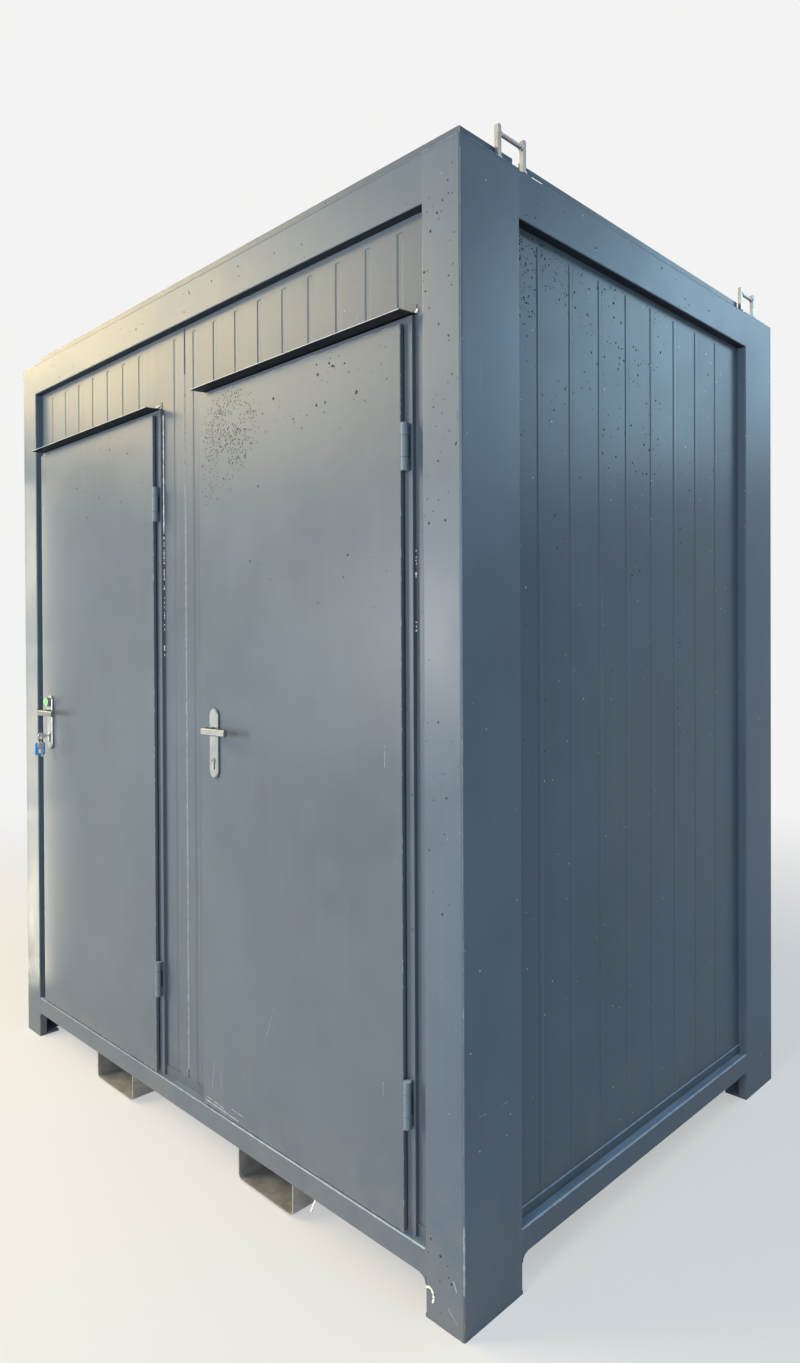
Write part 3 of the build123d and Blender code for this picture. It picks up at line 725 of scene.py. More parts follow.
class CabinStage(bpy.types.PropertyGroup):
    """Floor, lamps and background."""

    floor_colour: colour_setting("Floor", "Colour of the stage floor", (0.80, 0.80, 0.79))
    key_power: power_setting("Key lamp", "Lamp on the door side that glances off the near post", 135)
    front_power: power_setting("Front lamp", "Lamp that reaches the returns beside the recesses", 150)
    high_power: power_setting("High lamp", "Warm lamp above the door side", 115)
    card_power: power_setting("Warm card", "Warm lamp high on the left", 275)
    strip_power: power_setting("Left strip", "Each of the strip lamps that glance off the left post", 0.04)
    side_power: power_setting("Side lamp", "Cool lamp on the short side", 185)
    fill_power: power_setting("Side fill", "Cool lamp square to the short side", 15)
    corner_power: power_setting("Corner lamp", "Small lamp that glints on the bends", 13)
    right_power: power_setting("Right lamp", "Cool lamp that reaches into the ribs", 15)
    top_power: power_setting("Top lamp", "Lamp above the roof", 40)
    roof_power: power_setting("Roof side lamp", "Cool lamp above the short side", 40)
    ambient: number_setting("Ambient", "Light from all round", 0.08)


# Operators
class CABIN_OT_dress_frame(bpy.types.Operator):
    """Paint the posts, rails and plates, with worn bends and the scuffs low down, painted highlights along a
    bend and the folds, and painted shade on faces that look down
    """

    bl_idname = "cabin.dress_frame"
    bl_label = "Dress the frame"

    def execute(self, context):
        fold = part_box("bottom_rail_front")[1].z - 0.001
        bend_x, bend_y = RIGHT - 0.002, FRONT + 0.002
        faint_x, faint_y = RIGHT - 0.0015, FRONT + 0.0015
        fold_y, fold_x, fold_break = FRONT + 0.001, RIGHT - 0.001, 0.26
        # Start, end, width, strength and gaps
        marks = [
            # The near post's short side, its worn bend low down, a painted highlight up the rest of the bend,
            # and two scuffs at its foot
            ((RIGHT, FRONT + 0.050, 0.453), (RIGHT, FRONT + 0.182, 0.449), 0.0022, 0.6, 0.62),
            ((bend_x, bend_y, 0.10), (bend_x, bend_y, 0.24), 0.0032, 1.0, 0.35),
            ((faint_x, faint_y, 0.24), (faint_x, faint_y, 2.47), 0.0020, 0.35, 0.3),
            ((RIGHT - 0.030, FRONT, 0.115), (RIGHT - 0.022, FRONT, 0.098), 0.0022, 0.7, 0.3),
            ((RIGHT - 0.045, FRONT, 0.050), (RIGHT - 0.020, FRONT, 0.030), 0.0030, 0.5, 0.4),
            # Painted highlights along the folds of the bottom rails, in front and on the right
            ((fold_break, fold_y, fold), (RIGHT - 0.115, fold_y, fold), 0.0030, 0.9, 0.0),
            ((LEFT + 0.12, fold_y, fold), (fold_break, fold_y, fold), 0.0026, 0.5, 0.3),
            ((fold_x, FRONT + 0.20, fold), (fold_x, BACK - 0.20, fold), 0.0042, 0.9, 0.0),
        ]
        whole = Vector((LEFT, FRONT, 0.0)), Vector((RIGHT, BACK, TOP))
        # Faces that look down are darkened: painted shade under the rails.
        look = dict(wear=(*whole, 0.0032), marks=marks, specks=0.35, dots=0.85, splash=0.55, underside_shade=0.9)
        colour = context.scene.cabin_paint.frame_colour
        coat(painted("Frame paint", colour, **look),
             *matching("corner_post", "foot_plates", "head_plates", "top_rail", "bottom_rail"))
        coat(painted("Near post paint", colour, **look, sheen=0.19), "corner_post_front_right")
        return {"FINISHED"}


class CABIN_OT_dress_walls(bpy.types.Operator):
    """Paint the wall panels outside, and line them inside"""

    bl_idname = "cabin.dress_walls"
    bl_label = "Dress the walls"

    def execute(self, context):
        paint = context.scene.cabin_paint
        halves = islands("front_wall_middle")
        joint = (halves[0][1].x + halves[1][0].x) / 2
        # A painted highlight along the chamfer at the joint of the two middle panels.
        chamfer = (joint - 0.0026, WALL_FACE + 0.0020)
        marks = [((*chamfer, 0.2), (*chamfer, 2.25), 0.0040, 0.8, 0.0)]
        panels = painted("Panel paint", paint.panel_colour, lining=paint.lining_colour, marks=marks,
                         specks=0.3, dots=0.9, splash=0.5)
        coat(panels, *matching("_wall", "ceiling_panel"))
        # A painted highlight along the lip of the base trim on the short side.
        lip_x, lip_z = SIDE_FACE + 0.0045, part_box("base_trim")[1].z
        marks = [((lip_x, FRONT + 0.20, lip_z), (lip_x, BACK - 0.20, lip_z), 0.0042, 0.9, 0.0)]
        trim = painted("Trim paint", paint.trim_colour, marks=marks, specks=0.3)
        coat(trim, "base_trim", "roof_edge_trim")
        # A painted highlight along the front edge of each drip cap.
        marks = [((low.x, low.y, low.z + 0.0015), (high.x, low.y, low.z + 0.0015), 0.0026, 0.8, 0.2)
                 for low, high in islands("door_drip_caps")]
        # Faces that look down are turned almost black: painted shade under the drip caps.
        caps = painted("Drip cap paint", paint.trim_colour, marks=marks, specks=0.3, underside_shade=1.0)
        coat(caps, "door_drip_caps")
        coat(moulded("Vinyl floor", context.scene.cabin_fittings.floor_colour, 0.45, 260.0), "floor_deck")
        return {"FINISHED"}


class CABIN_OT_dress_doors(bpy.types.Operator):
    """Paint the door leaves, with their scratches, and the door frames and hinges"""

    bl_idname = "cabin.dress_doors"
    bl_label = "Dress the doors"

    def execute(self, context):
        colour = context.scene.cabin_paint.door_colour
        low = DOORS["right"][0]
        # Start and end from the right leaf's lower left corner, then width and strength
        scratches = [
            ((low.x + dx, FRONT, low.z + dz), (low.x + ex, FRONT, low.z + ez), width, strength, 0.45)
            for dx, dz, ex, ez, width, strength in (
                (0.01, 0.012, 0.17, 0.008, 0.0026, 0.9), (0.02, 0.022, 0.10, 0.018, 0.0018, 0.7),
                (0.045, 0.06, 0.055, 0.13, 0.0016, 0.45), (0.09, 0.07, 0.085, 0.11, 0.0016, 0.4),
                (0.14, 0.03, 0.19, 0.028, 0.0020, 0.6), (0.30, 0.28, 0.33, 0.36, 0.0016, 0.3),
                (0.745, 1.02, 0.746, 1.07, 0.0014, 0.5), (0.735, 0.28, 0.736, 0.31, 0.0014, 0.5))
        ]
        for side, marks in (("left", scratches[1:3]), ("right", scratches)):
            leaf = painted(f"Door paint {side}", colour, wear=(*DOORS[side], 0.0022), marks=marks,
                           specks=0.4, dots=0.06)
            coat(leaf, f"{side}_door_leaf")
        coat(painted("Door frame paint", colour, specks=0.3), *matching("door_frame"))
        # The hinges take the door paint made lighter: a painted highlight that lifts the knuckles out of their
        # shade.
        coat(painted("Lightened hinge paint", scaled(colour, 1.45)), *matching("hinges"))
        return {"FINISHED"}


class CABIN_OT_dress_metal(bpy.types.Operator):
    """Give the galvanised pockets, lugs, joists and roof, and the handles and locks, their metal"""

    bl_idname = "cabin.dress_metal"
    bl_label = "Dress the bare metal"

    def execute(self, context):
        fittings = context.scene.cabin_fittings
        dipped = zinc("Zinc", fittings.zinc_colour, 0.55)
        coat(dipped, *matching("fork_pocket", "floor_joists", "roof_sheet"))
        coat(zinc("Lug zinc", scaled(fittings.zinc_colour, 0.5), 0.3), *matching("lifting_lug"))
        handles = satin_metal("Satin aluminium", fittings.handle_colour, 0.34, (900.0, 900.0, 40.0))
        coat(handles, *matching("handle_plates", "_lever"))
        locks = satin_metal("Nickel", fittings.nickel_colour, 0.22, (400.0, 60.0, 400.0))
        coat(locks, *matching("lock_cylinder"))
        window = indicator_material("Indicator", fittings.window_colour, fittings.nickel_colour)
        coat(window, "occupancy_rosette")
        return {"FINISHED"}


class CABIN_OT_fit_seals(bpy.types.Operator):
    """Run a rubber seal round each doorway, under the edge of the leaf"""

    bl_idname = "cabin.fit_seals"
    bl_label = "Fit the door seals"

    def execute(self, context):
        fittings = context.scene.cabin_fittings
        rubber = moulded("Black rubber", (0.022, 0.022, 0.024), 0.55, 900.0)
        inset, threshold, sunk = 0.012, 0.0075, 0.0002
        loops = []
        for side, (low, high) in DOORS.items():
            y = FRAMES[side][0].y - fittings.seal_height / 2 + sunk
            corners = [(x, y, z) for x, z in (
                (low.x + inset, low.z + threshold), (high.x - inset, low.z + threshold),
                (high.x - inset, high.z - inset), (low.x + inset, high.z - inset))]
            loops.append(corners + corners[:1])
        grow("door_seals", wires, loops, seal_maker, "cabin", rubber,
             Corner_Radius=0.012, Width=fittings.seal_width, Height=fittings.seal_height)
        return {"FINISHED"}


class CABIN_OT_fit_sealant(bpy.types.Operator):
    """Press uneven white sealant out of the joint beside each door frame, and leave scraps elsewhere"""

    bl_idname = "cabin.fit_sealant"
    bl_label = "Fit the sealant"

    def execute(self, context):
        fittings = context.scene.cabin_fittings
        white = moulded("White sealant", fittings.sealant_colour, 0.6, 500.0, height=0.0006)
        width = fittings.sealant_width

        def upright_runs(heights):
            """Runs up the right edge of each door frame, between the heights given for its side."""
            places = {side: (high.x + 0.0014, WALL_FACE - 0.0022) for side, (_, high) in FRAMES.items()}
            return [[(*places[side], low), (*places[side], high)]
                    for side, rows in heights.items() for low, high in rows]

        beads = upright_runs({"left": ((1.805, 1.960), (1.975, 2.145))})
        crumbs = upright_runs({
            "left": ((1.425, 1.450), (1.495, 1.560), (1.570, 1.690), (1.705, 1.795)),
            "right": ((1.480, 1.508), (1.583, 1.656))})
        # Above the doors, at a fork pocket's end and on the near post's foot
        above = ((0.949, 2.177, 0.005), (-0.152, 2.182, 0.030), (-0.975, 2.180, 0.010))
        scraps = [[(x - length / 2, WALL_FACE - 0.001, z), (x + length / 2, WALL_FACE - 0.003, z + 0.003)]
                  for x, z, length in above]
        pocket_end = FRONT + 0.0015
        scraps.append([(x, pocket_end, z) for x, z in ((0.6135, 0.0875), (0.600, 0.060), (0.597, 0.053))])
        scraps.append([(RIGHT - reach, FRONT, height) for reach, height in (
            (0.107, 0.066), (0.099, 0.070), (0.092, 0.068), (0.087, 0.062), (0.085, 0.053), (0.088, 0.044))])
        grow("sealant_beads", wires, beads, beads_maker, "cabin", white,
             Spacing=0.009, Width=width, Length=0.022, Unevenness=0.45, Missing=0.0, Seed=7)
        grow("sealant_crumbs", wires, crumbs, beads_maker, "cabin", white,
             Spacing=0.007, Width=width, Length=0.009, Unevenness=0.6, Missing=0.35, Seed=9)
        grow("sealant_scraps", wires, scraps, beads_maker, "cabin", white,
             Spacing=0.003, Width=0.0065, Length=0.009, Unevenness=0.4, Missing=0.0, Seed=12)
        return {"FINISHED"}


class CABIN_OT_fit_welds(bpy.types.Operator):
    """Run weld beads round the feet of the lifting lugs and the ends of their crossbars"""

    bl_idname = "cabin.fit_welds"
    bl_label = "Fit the weld beads"

    def execute(self, context):
        weld = zinc("Weld metal", (0.34, 0.34, 0.35), 0.3)
        lines = [rectangle(low, high, TOP + 0.0006) for low, high in islands("lifting_lug_uprights")]
        for low, high in islands("lifting_lug_crossbars"):
            centre, radius = (low + high) / 2, (high.x - low.x) / 2
            lines += [circle((centre.x, y, centre.z), radius) for y in (low.y + 0.0005, high.y - 0.0005)]
        grow("lug_welds", wires, lines, beads_maker, "cabin", weld, "galvanised_steel",
             Spacing=0.0022, Width=context.scene.cabin_fittings.weld_width, Length=0.0042,
             Unevenness=0.25, Missing=0.0, Seed=3)
        return {"FINISHED"}


def islands(node):
    """The box of each separate solid in a CAD node, from the left."""
    mesh = bmesh.new()
    mesh.from_mesh(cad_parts[node].data)
    bmesh.ops.remove_doubles(mesh, verts=mesh.verts, dist=SAME_POINT)
    left, found = set(mesh.verts), []
    while left:
        seen, border = set(), [left.pop()]
        while border:
            vertex = border.pop()
            seen.add(vertex)
            for edge in vertex.link_edges:
                other = edge.other_vert(vertex)
                if other in left:
                    left.discard(other)
                    border.append(other)
        low = Vector(min(v.co[axis] for v in seen) for axis in range(3))
        high = Vector(max(v.co[axis] for v in seen) for axis in range(3))
        found.append((low, high))
    mesh.free()
    return sorted(found, key=lambda pair: tuple(round(part, 4) for part in pair[0]))


def rectangle(low, high, z):
    corners = [(low.x, low.y, z), (high.x, low.y, z), (high.x, high.y, z), (low.x, high.y, z)]
    return corners + corners[:1]


def circle(centre, radius):
    """A closed ring that faces along Y."""
    count = 16
    points = [(centre[0] + radius * math.cos(math.tau * k / count), centre[1],
               centre[2] + radius * math.sin(math.tau * k / count)) for k in range(count)]
    return points + points[:1]


class CABIN_OT_fit_screws(bpy.types.Operator):
    """Set hexagon screws with washers along the roof's edge trim, and two in each inner handle plate"""

    bl_idname = "cabin.fit_screws"
    bl_label = "Fit the screws"

    def execute(self, context):
        fittings = context.scene.cabin_fittings
        metal = zinc("Screw zinc", fittings.zinc_colour, 0.2)
        line, margin, sheet = 0.019, 0.08, 0.002
        rows = []
        for low, high in islands("roof_edge_trim"):
            runs_along_x = high.x - low.x > high.y - low.y
            across, along = (1, 0) if runs_along_x else (0, 1)
            outer = low[across] + line if low[across] < 0 else high[across] - line
            run = high[along] - low[along] - 2 * margin
            count = round(run / fittings.screw_pitch)
            for index in range(count + 1):
                place = low[along] + margin + run * index / count
                point = (place, outer) if runs_along_x else (outer, place)
                rows.append(((*point, low.z + sheet), (0, 0, 1)))
        grow("roof_screws", points_facing, rows, fixings_maker, "cabin", metal,
             "galvanised_steel", Head_Width=0.0092, Head_Height=0.0042,
             Washer_Width=0.0150, Washer_Height=0.0018, Seed=11)
        end = 0.014
        for side in DOORS:
            low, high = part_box(f"{side}_handle_plates")
            rows = [(((low.x + high.x) / 2, high.y, z), (0, 1, 0)) for z in (low.z + end, high.z - end)]
            name = f"{side}_plate_screws"
            grow(name, points_facing, rows, fixings_maker, f"{side}_door", metal, "lock_brass",
                 Head_Width=0.0074, Head_Height=0.0012, Washer_Width=0.0090, Washer_Height=0.0006, Seed=5)
        return {"FINISHED"}


class CABIN_OT_fit_key(bpy.types.Operator):
    """Put the key, its split ring, the spare key and the labelled tag on the left door"""

    bl_idname = "cabin.fit_key"
    bl_label = "Fit the key and tag"

    def execute(self, context):
        fittings = context.scene.cabin_fittings
        low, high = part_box("key_with_tag")
        lock_low, lock_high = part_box("left_lock_cylinder")
        nickel = satin_metal("Key nickel", scaled(fittings.nickel_colour, 1.8), 0.25, (300.0, 60.0, 300.0))
        steel = satin_metal("Ring steel", scaled(fittings.nickel_colour, 1.3), 0.2, (300.0, 300.0, 300.0))
        plastic = moulded("Tag plastic", fittings.tag_colour, 0.32, 500.0, spread=0.05)
        label = moulded("Label card", (0.86, 0.88, 0.88), 0.6, 700.0, spread=0.03)
        x, eye_y, key_z = (low.x + high.x) / 2, low.y + 0.019, lock_high.z - 0.0085
        ring_radius, ring_wire, hang = 0.014, 0.0009, 0.0018
        ring_z = key_z - hang - ring_radius
        eye_z = ring_z - ring_radius + 0.0005
        key = key_mesh("key_in_lock", (x, lock_low.y, key_z), eye_y)
        first = new_piece("key_in_lock", key, "left_door", nickel)
        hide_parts("key_with_tag")
        ring = split_ring("key_ring", (x, eye_y, ring_z), ring_radius, ring_wire)
        new_piece("key_ring", ring, "left_door", steel, smooth=True)
        tag = tag_mesh("key_tag", (x, eye_y, eye_z), width=0.036, height=0.044, thickness=0.0036)
        tag.materials.append(plastic)
        tag.materials.append(label)
        new_piece("key_tag", tag, "left_door")
        # The spare is made lying with its eye near the origin, then hung in the ring beside the tag
        beside_tag, droop = 0.0046, math.radians(-82)
        spare = key_mesh("spare_key", (x + beside_tag, 0.0, 0.0), -0.038)
        hanging = Matrix.Translation((0, eye_y, eye_z + 0.001)) @ Matrix.Rotation(droop, 4, "X")
        spare.transform(hanging @ Matrix.Translation((0, 0.0375, 0)))
        new_piece("spare_key", spare, "left_door", nickel)
        return {"FINISHED"}


def extruded(name, outline, hole, x, thickness, bevel=0.0004):
    """A flat plate in the YZ plane with a round hole, both drawn as (y, z)."""
    curve = bpy.data.curves.new(name, "CURVE")
    curve.dimensions = "2D"
    curve.fill_mode = "BOTH"
    for ring in (outline, hole):
        spline = curve.splines.new("POLY")
        spline.points.add(len(ring) - 1)
        for point, (a, b) in zip(spline.points, ring):
            point.co = (a, b, 0, 1)
        spline.use_cyclic_u = True
    curve.extrude = thickness / 2 - bevel
    curve.bevel_depth = bevel
    curve.bevel_resolution = 1
    curve.offset = -bevel
    mesh = worked_out(new_object(name, curve))
    mesh.transform(Matrix(((0, 0, 1, x), (1, 0, 0, 0), (0, 1, 0, 0), (0, 0, 0, 1))))
    mend(mesh)
    return mesh


def mend(mesh):
    """Join doubled points and turn the faces outwards."""
    work = bmesh.new()
    work.from_mesh(mesh)
    bmesh.ops.remove_doubles(work, verts=work.verts, dist=SAME_POINT)
    bmesh.ops.recalc_face_normals(work, faces=work.faces)
    work.to_mesh(mesh)
    work.free()


def arc(centre, radius, start, end, count):
    """Points on an arc, in degrees, drawn as (y, z)."""
    for index in range(count + 1):
        angle = math.radians(start + (end - start) * index / count)
        yield centre[0] + radius * math.cos(angle), centre[1] + radius * math.sin(angle)


def key_mesh(name, start, eye_y):
    """A cylinder key: a round bow with its hole, a shoulder and a notched blade that enters the lock."""
    x, lock_y, z = start
    bow, half = 0.0118, 0.0038
    centre = eye_y - 0.0065 + bow, z
    neck = centre[0] + bow
    collar, shoulder, first_cut, flare = neck + 0.0015, neck + 0.004, neck + 0.006, 0.0008
    blade_end = lock_y + 0.010
    outline = list(arc(centre, bow, 22, 338, 26))
    outline += [(collar, z - half - flare), (shoulder, z - half)]
    cuts = (0.0, 0.0012, 0.0004, 0.0016, 0.0008, 0.0)
    run = blade_end - first_cut
    outline += [(first_cut + run * index / len(cuts), z - half + cut) for index, cut in enumerate(cuts)]
    outline += [(blade_end, z - half + 0.002), (blade_end, z + half - 0.001), (blade_end - 0.001, z + half)]
    outline += [(shoulder, z + half), (collar, z + half + flare)]
    return extruded(name, outline, list(arc((eye_y, z), 0.003, 360, 24, 14)), x, thickness=0.0022)


def split_ring(name, centre, radius, wire):
    """Two turns of wire side by side, facing along Y."""
    curve = bpy.data.curves.new(name, "CURVE")
    curve.dimensions = "3D"
    curve.bevel_depth = wire / 2
    curve.bevel_resolution = 2
    curve.use_fill_caps = True
    spline = curve.splines.new("POLY")
    count = 72
    spline.points.add(count)
    for index, point in enumerate(spline.points):
        angle = 2 * math.tau * index / count
        lift = wire * 1.02 * (math.tanh((index / count - 0.5) * 14)) / 2
        point.co = (centre[0] + radius * math.cos(angle), centre[1] + lift,
                    centre[2] + radius * math.sin(angle), 1)
    mesh = worked_out(new_object(name, curve))
    mend(mesh)
    return mesh


def rounded(centre, width, height, radius):
    """A rectangle with round corners, drawn as (y, z)."""
    for side_y, side_z, start in ((1, 1, 0), (-1, 1, 90), (-1, -1, 180), (1, -1, 270)):
        middle = centre[0] + side_y * (width / 2 - radius), centre[1] + side_z * (height / 2 - radius)
        yield from arc(middle, radius, start, start + 90, 5)


def tag_mesh(name, eye, width, height, thickness):
    """A key tag with a raised rim round its label on both faces. The label takes the second material."""
    x, y, z = eye
    centre = (y, z - height / 2 + 0.0055)
    outline = list(rounded(centre, width, height, 0.005))
    mesh = extruded(name, outline, list(arc((y, z), 0.0026, 360, 24, 14)), x, thickness, bevel=0.0007)
    work = bmesh.new()
    work.from_mesh(mesh)
    window = list(rounded((centre[0] + 0.003, centre[1] - 0.008), width - 0.018, height - 0.030, 0.002))
    lift, depth = 0.0003, 0.0008
    for end in (-1, 1):
        face = work.faces.new([work.verts.new((x + end * (thickness / 2 + lift), a, b)) for a, b in window])
        face.material_index = 1
        rim = bmesh.ops.extrude_face_region(work, geom=[face])
        for vertex in [item for item in rim["geom"] if isinstance(item, bmesh.types.BMVert)]:
            vertex.co.x -= end * depth
    bmesh.ops.recalc_face_normals(work, faces=work.faces)
    work.to_mesh(mesh)
    work.free()
    return mesh


class CABIN_OT_fit_rain(bpy.types.Operator):
    """Scatter rain drops on the doors, the near post, the top rails and the side wall"""

    bl_idname = "cabin.fit_rain"
    bl_label = "Scatter the rain"

    def execute(self, context):
        fittings = context.scene.cabin_fittings
        water = rain_material("Rain water", context.scene.cabin_paint.door_colour)
        post = (RIGHT - 0.104, RIGHT - 0.008)
        rail, under_rail = (2.395, 2.49), 2.38
        # Each shower's body, its share of the drops, the size of its drops and its patches
        showers = {
            "right_door_cloud": ("right_door", 38.0, 0.55, [on_front(0.13, 0.42, 1.90, 2.15)]),
            "right_door_fringe": ("right_door", 24.0, 0.55, [on_front(0.13, 0.34, 1.80, 2.06)]),
            "right_door_top": ("right_door", 2.4, 1.0, [on_front(0.40, 0.88, 2.00, 2.14)]),
            "right_door": ("right_door", 0.10, 0.8, [on_front(0.13, 0.91, 1.5, 2.00)]),
            "left_door": ("left_door", 0.25, 0.8, [on_front(-0.93, -0.15, 1.8, 2.15)]),
            "near_post": ("cabin", 1.3, 0.8, [on_front(*post, 1.6, 2.48), on_front(*post, 0.01, 0.20)]),
            "near_post_middle": ("cabin", 0.5, 0.8, [on_front(*post, 0.8, 1.6)]),
            "top_rails": ("cabin", 0.3, 0.8, [
                on_front(-0.98, 0.98, *rail), on_side(RIGHT, FRONT + 0.2, BACK - 0.2, *rail)]),
            "side_wall_top": ("cabin", 9.0, 0.7, [
                on_side(SIDE_FACE, FRONT + 0.21, FRONT + 0.42, 2.12, under_rail)]),
            "side_wall": ("cabin", 1.6, 0.75, [
                on_side(SIDE_FACE, FRONT + 0.21, FRONT + 0.90, 1.90, under_rail)]),
            "side_wall_low": ("cabin", 0.12, 0.8, [
                on_side(SIDE_FACE, FRONT + 0.22, BACK - 0.3, 1.2, under_rail)]),
        }
        # The middle and reach of the showers that thin out all round
        clouds = {
            "right_door_cloud": ((0.265, FRONT, 2.035), 0.14),
            "right_door_fringe": ((0.195, FRONT, 1.955), 0.13),
            "side_wall_top": ((SIDE_FACE, FRONT + 0.29, 2.30), 0.22),
        }
        everywhere, first_seed = 50.0, 20
        for index, (name, (body, share, size, patches)) in enumerate(showers.items()):
            middle, reach = clouds.get(name, (patches[0][0], everywhere))
            grow(f"rain_{name}", patch_mesh, patches, drops_maker, body, water,
                 Density=fittings.drop_density * share, Smallest=fittings.smallest_drop * (1.9 - size),
                 Largest=fittings.largest_drop * size, Middle=middle, Reach=reach, Seed=first_seed + index)
        return {"FINISHED"}


def on_front(start, end, low, high):
    """A patch on the front plane, its face outwards."""
    return [(start, FRONT, low), (end, FRONT, low), (end, FRONT, high), (start, FRONT, high)]


def on_side(x, start, end, low, high):
    """A patch that looks to the right."""
    return [(x, start, low), (x, end, low), (x, end, high), (x, start, high)]


class CABIN_OT_build_stage(bpy.types.Operator):
    """Lay the pale floor, hang the lamps, whiten the background and set the camera"""

    bl_idname = "cabin.build_stage"
    bl_label = "Build the stage"

    def execute(self, context):
        stage = context.scene.cabin_stage
        build_floor(stage.floor_colour)
        build_world(stage.ambient)
        aim = Vector((0, MIDDLE_Y, 1.2))
        high = Vector((0, MIDDLE_Y, 2.1))
        # A beam aimed at the camera's mirror image glances off the left post into the camera
        eye_in_front = Vector((EYE.x, 2 * FRONT - EYE.y, EYE.z))
        strips = [
            ("Left strip", (-1.37, -0.90, height), eye_in_front, (0.08, 0.68), stage.strip_power * share,
             (1.0, 0.90, 0.66), 20)
            for height, share in ((0.42, 1.35), (1.10, 0.95), (1.78, 0.80))
        ]
        lamps = [
            ("Key lamp", (-2.9, -5.1, 1.6), aim, (0.8, 1.4), stage.key_power, WARM),
            ("Front lamp", (1.7, -6.0, 1.8), aim, (1.0, 2.0), stage.front_power, (1.0, 0.98, 0.96)),
            ("High lamp", (-3.2, -4.8, 4.4), high, (3.0, 2.0), stage.high_power, (1.0, 0.85, 0.60)),
            ("Warm card", (-4.4, -3.3, 4.2), high, (3.6, 1.8), stage.card_power, (1.0, 0.77, 0.38)),
            *strips,
            ("Side lamp", (4.6, 6.2, 4.6), aim, (3.0, 2.4), stage.side_power, DAYLIGHT),
            ("Side fill", (6.8, 0.4, 1.8), aim, (3.0, 3.0), stage.fill_power, DAYLIGHT),
            ("Corner lamp", (3.7, -3.7, 2.2), aim, (0.6, 0.6), stage.corner_power, DAYLIGHT),
            ("Right lamp", (5.6, -3.2, 3.4), aim, (2.0, 2.0), stage.right_power, DAYLIGHT),
            ("Top lamp", (1.6, -1.2, 6.5), aim, (3.0, 3.0), stage.top_power, (1.0, 1.0, 1.0)),
            ("Roof side lamp", (3.4, 0.4, 6.0), aim, (2.5, 2.5), stage.roof_power, SKY),
        ]
        for lamp in lamps:
            add_lamp(*lamp)
        build_camera(context.scene)
        context.scene.view_settings.view_transform = "Standard"
        return {"FINISHED"}


def seen_directly(tree):
    """One for what the camera sees, also in a reflection or through glass."""
    light = tree.nodes.new("ShaderNodeLightPath").outputs
    seen = calc(tree, "MAXIMUM", light["Is Camera Ray"], light["Is Glossy Ray"])
    return calc(tree, "MAXIMUM", seen, light["Is Transmission Ray"])


def build_floor(colour):
    half = 30.0
    corners = [(-half, -half, 0), (half, -half, 0), (half, half, 0), (-half, half, 0)]
    mesh = new_mesh("stage_floor", corners, faces=[(0, 1, 2, 3)])
    material, tree, surface, place = new_material("Stage floor", Roughness=0.8)
    feed(tree, surface.inputs, Base_Color=mottled(tree, noise(tree, place, 0.6, 3.0), colour, 0.97, 1.03))
    shadow_radius, white_radius = 1.8, 6.0
    fade = step(tree, vector_calc(tree, "LENGTH", place), shadow_radius, white_radius, 0.5, 1.0)
    pale = out(tree, "ShaderNodeEmission", {0: (*BACKGROUND, 1), 1: 1.0})
    mix = {0: times(tree, fade, seen_directly(tree)), 1: surface.outputs[0], 2: pale}
    output = next(node for node in tree.nodes if node.type == "OUTPUT_MATERIAL")
    feed(tree, output.inputs, Surface=out(tree, "ShaderNodeMixShader", mix))
    floor = new_object("stage_floor", mesh)
    mesh.materials.append(material)


def build_world(strength):
    world = bpy.data.worlds.new("Studio")
    bpy.context.scene.world = world
    world.use_nodes = True
    tree = world.node_tree
    tree.nodes.clear()
    soft = out(tree, "ShaderNodeBackground", {0: (*SKY, 1), 1: strength})
    white = out(tree, "ShaderNodeBackground", {0: (*BACKGROUND, 1), 1: 1.0})
    both = out(tree, "ShaderNodeMixShader", {0: seen_directly(tree), 1: soft, 2: white})
    add(tree, "ShaderNodeOutputWorld", {0: both})


def add_lamp(name, place, aim, size, power, colour, spread=180):
    lamp = bpy.data.lights.new(name, "AREA")
    lamp.shape = "RECTANGLE"
    lamp.spread = math.radians(spread)
    lamp.size, lamp.size_y = size
    lamp.energy = power
    lamp.color = colour
    holder = new_object(name, lamp)
    holder.location = place
    holder.rotation_euler = (aim - Vector(place)).to_track_quat("-Z", "Y").to_euler()
    holder.visible_camera = False


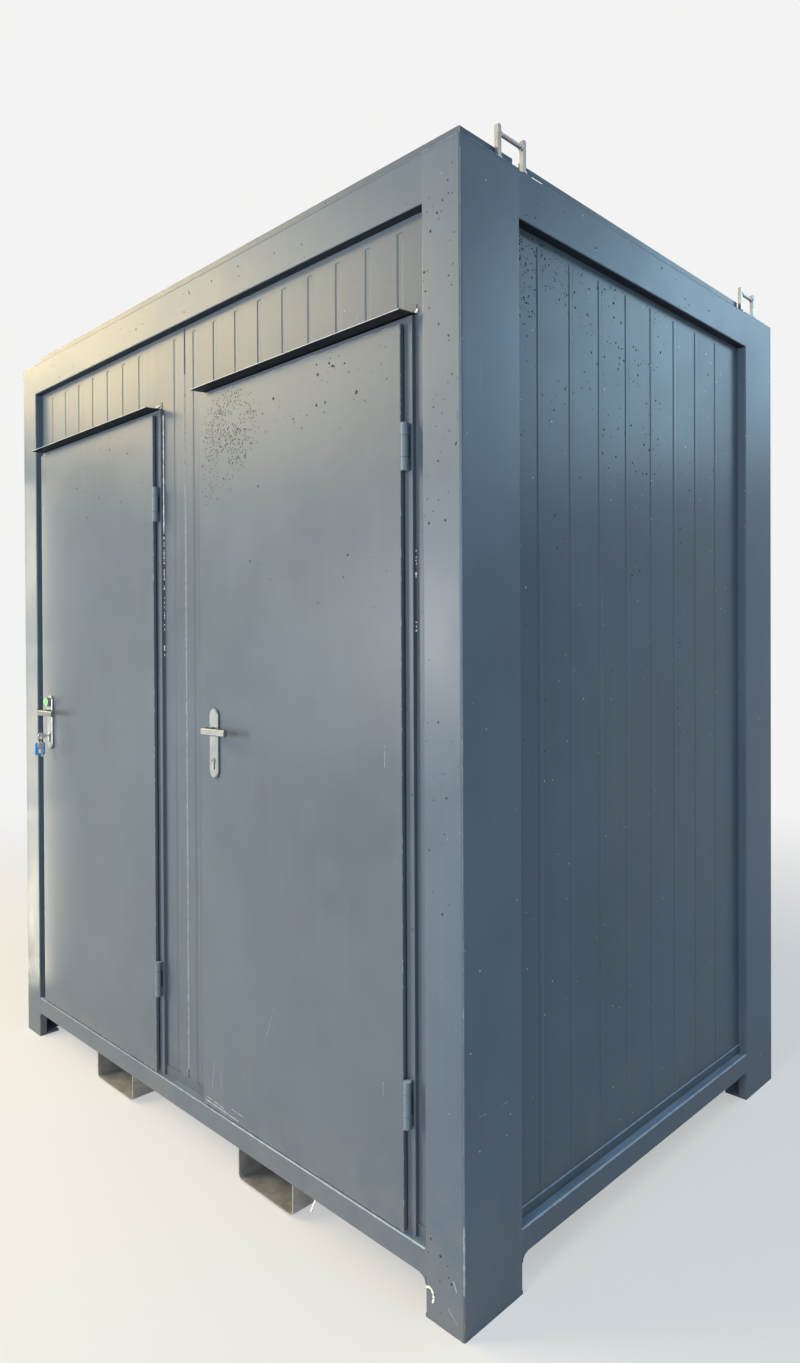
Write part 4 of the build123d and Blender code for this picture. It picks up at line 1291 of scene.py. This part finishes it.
def build_camera(scene):
    """The photograph's viewpoint: where it stood, how it was turned, and its lens."""
    yaw, pitch, roll = (math.radians(angle) for angle in (44.69, -0.45, -0.25))
    forward = Vector((-math.sin(yaw) * math.cos(pitch), math.cos(yaw) * math.cos(pitch), math.sin(pitch)))
    right = Vector((math.cos(yaw), math.sin(yaw), 0))
    up = right.cross(forward)
    across = right * math.cos(roll) + up * math.sin(roll)
    upward = up * math.cos(roll) - right * math.sin(roll)
    focal, height, shift_x, shift_y = 878.9, 1363, -1.4, -25.6  # in pixels of the photograph
    camera = bpy.data.cameras.new("Camera")
    camera.sensor_width = 36.0
    camera.lens = focal * camera.sensor_width / height
    camera.shift_x, camera.shift_y = shift_x / height, shift_y / height
    camera.clip_start = 0.05
    holder = new_object("Camera", camera)
    columns = (across, upward, -forward, EYE)
    rows = [tuple(column[axis] for column in columns) for axis in range(3)]
    holder.matrix_world = Matrix((*rows, (0, 0, 0, 1)))
    scene.camera = holder


class CABIN_PT_panel(bpy.types.Panel):
    """The steps that dress the cabin"""

    bl_idname = "CABIN_PT_panel"
    bl_label = "Site cabin"
    bl_space_type = "VIEW_3D"
    bl_region_type = "UI"
    bl_category = "Cabin"

    def draw(self, context):
        for settings in ("cabin_paint", "cabin_fittings", "cabin_stage"):
            group = getattr(context.scene, settings)
            box = self.layout.box()
            for name in group.__annotations__:
                box.prop(group, name)
        for operator in operators:
            self.layout.operator(operator.bl_idname)


settings_groups = {"cabin_paint": CabinPaint, "cabin_fittings": CabinFittings, "cabin_stage": CabinStage}
operators = (
    CABIN_OT_dress_frame,
    CABIN_OT_dress_walls,
    CABIN_OT_dress_doors,
    CABIN_OT_dress_metal,
    CABIN_OT_fit_seals,
    CABIN_OT_fit_sealant,
    CABIN_OT_fit_welds,
    CABIN_OT_fit_screws,
    CABIN_OT_fit_key,
    CABIN_OT_fit_rain,
    CABIN_OT_build_stage,
)
classes = (*settings_groups.values(), *operators, CABIN_PT_panel)


def register():
    for item in classes:
        bpy.utils.register_class(item)
    for name, group in settings_groups.items():
        setattr(bpy.types.Scene, name, bpy.props.PointerProperty(type=group))


def unregister():
    for name in settings_groups:
        delattr(bpy.types.Scene, name)
    for item in reversed(classes):
        bpy.utils.unregister_class(item)


def main():
    """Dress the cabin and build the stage."""
    register()
    for operator in operators:
        family, step_name = operator.bl_idname.split(".")
        getattr(getattr(bpy.ops, family), step_name)()


if __name__ == "__main__":
    main()
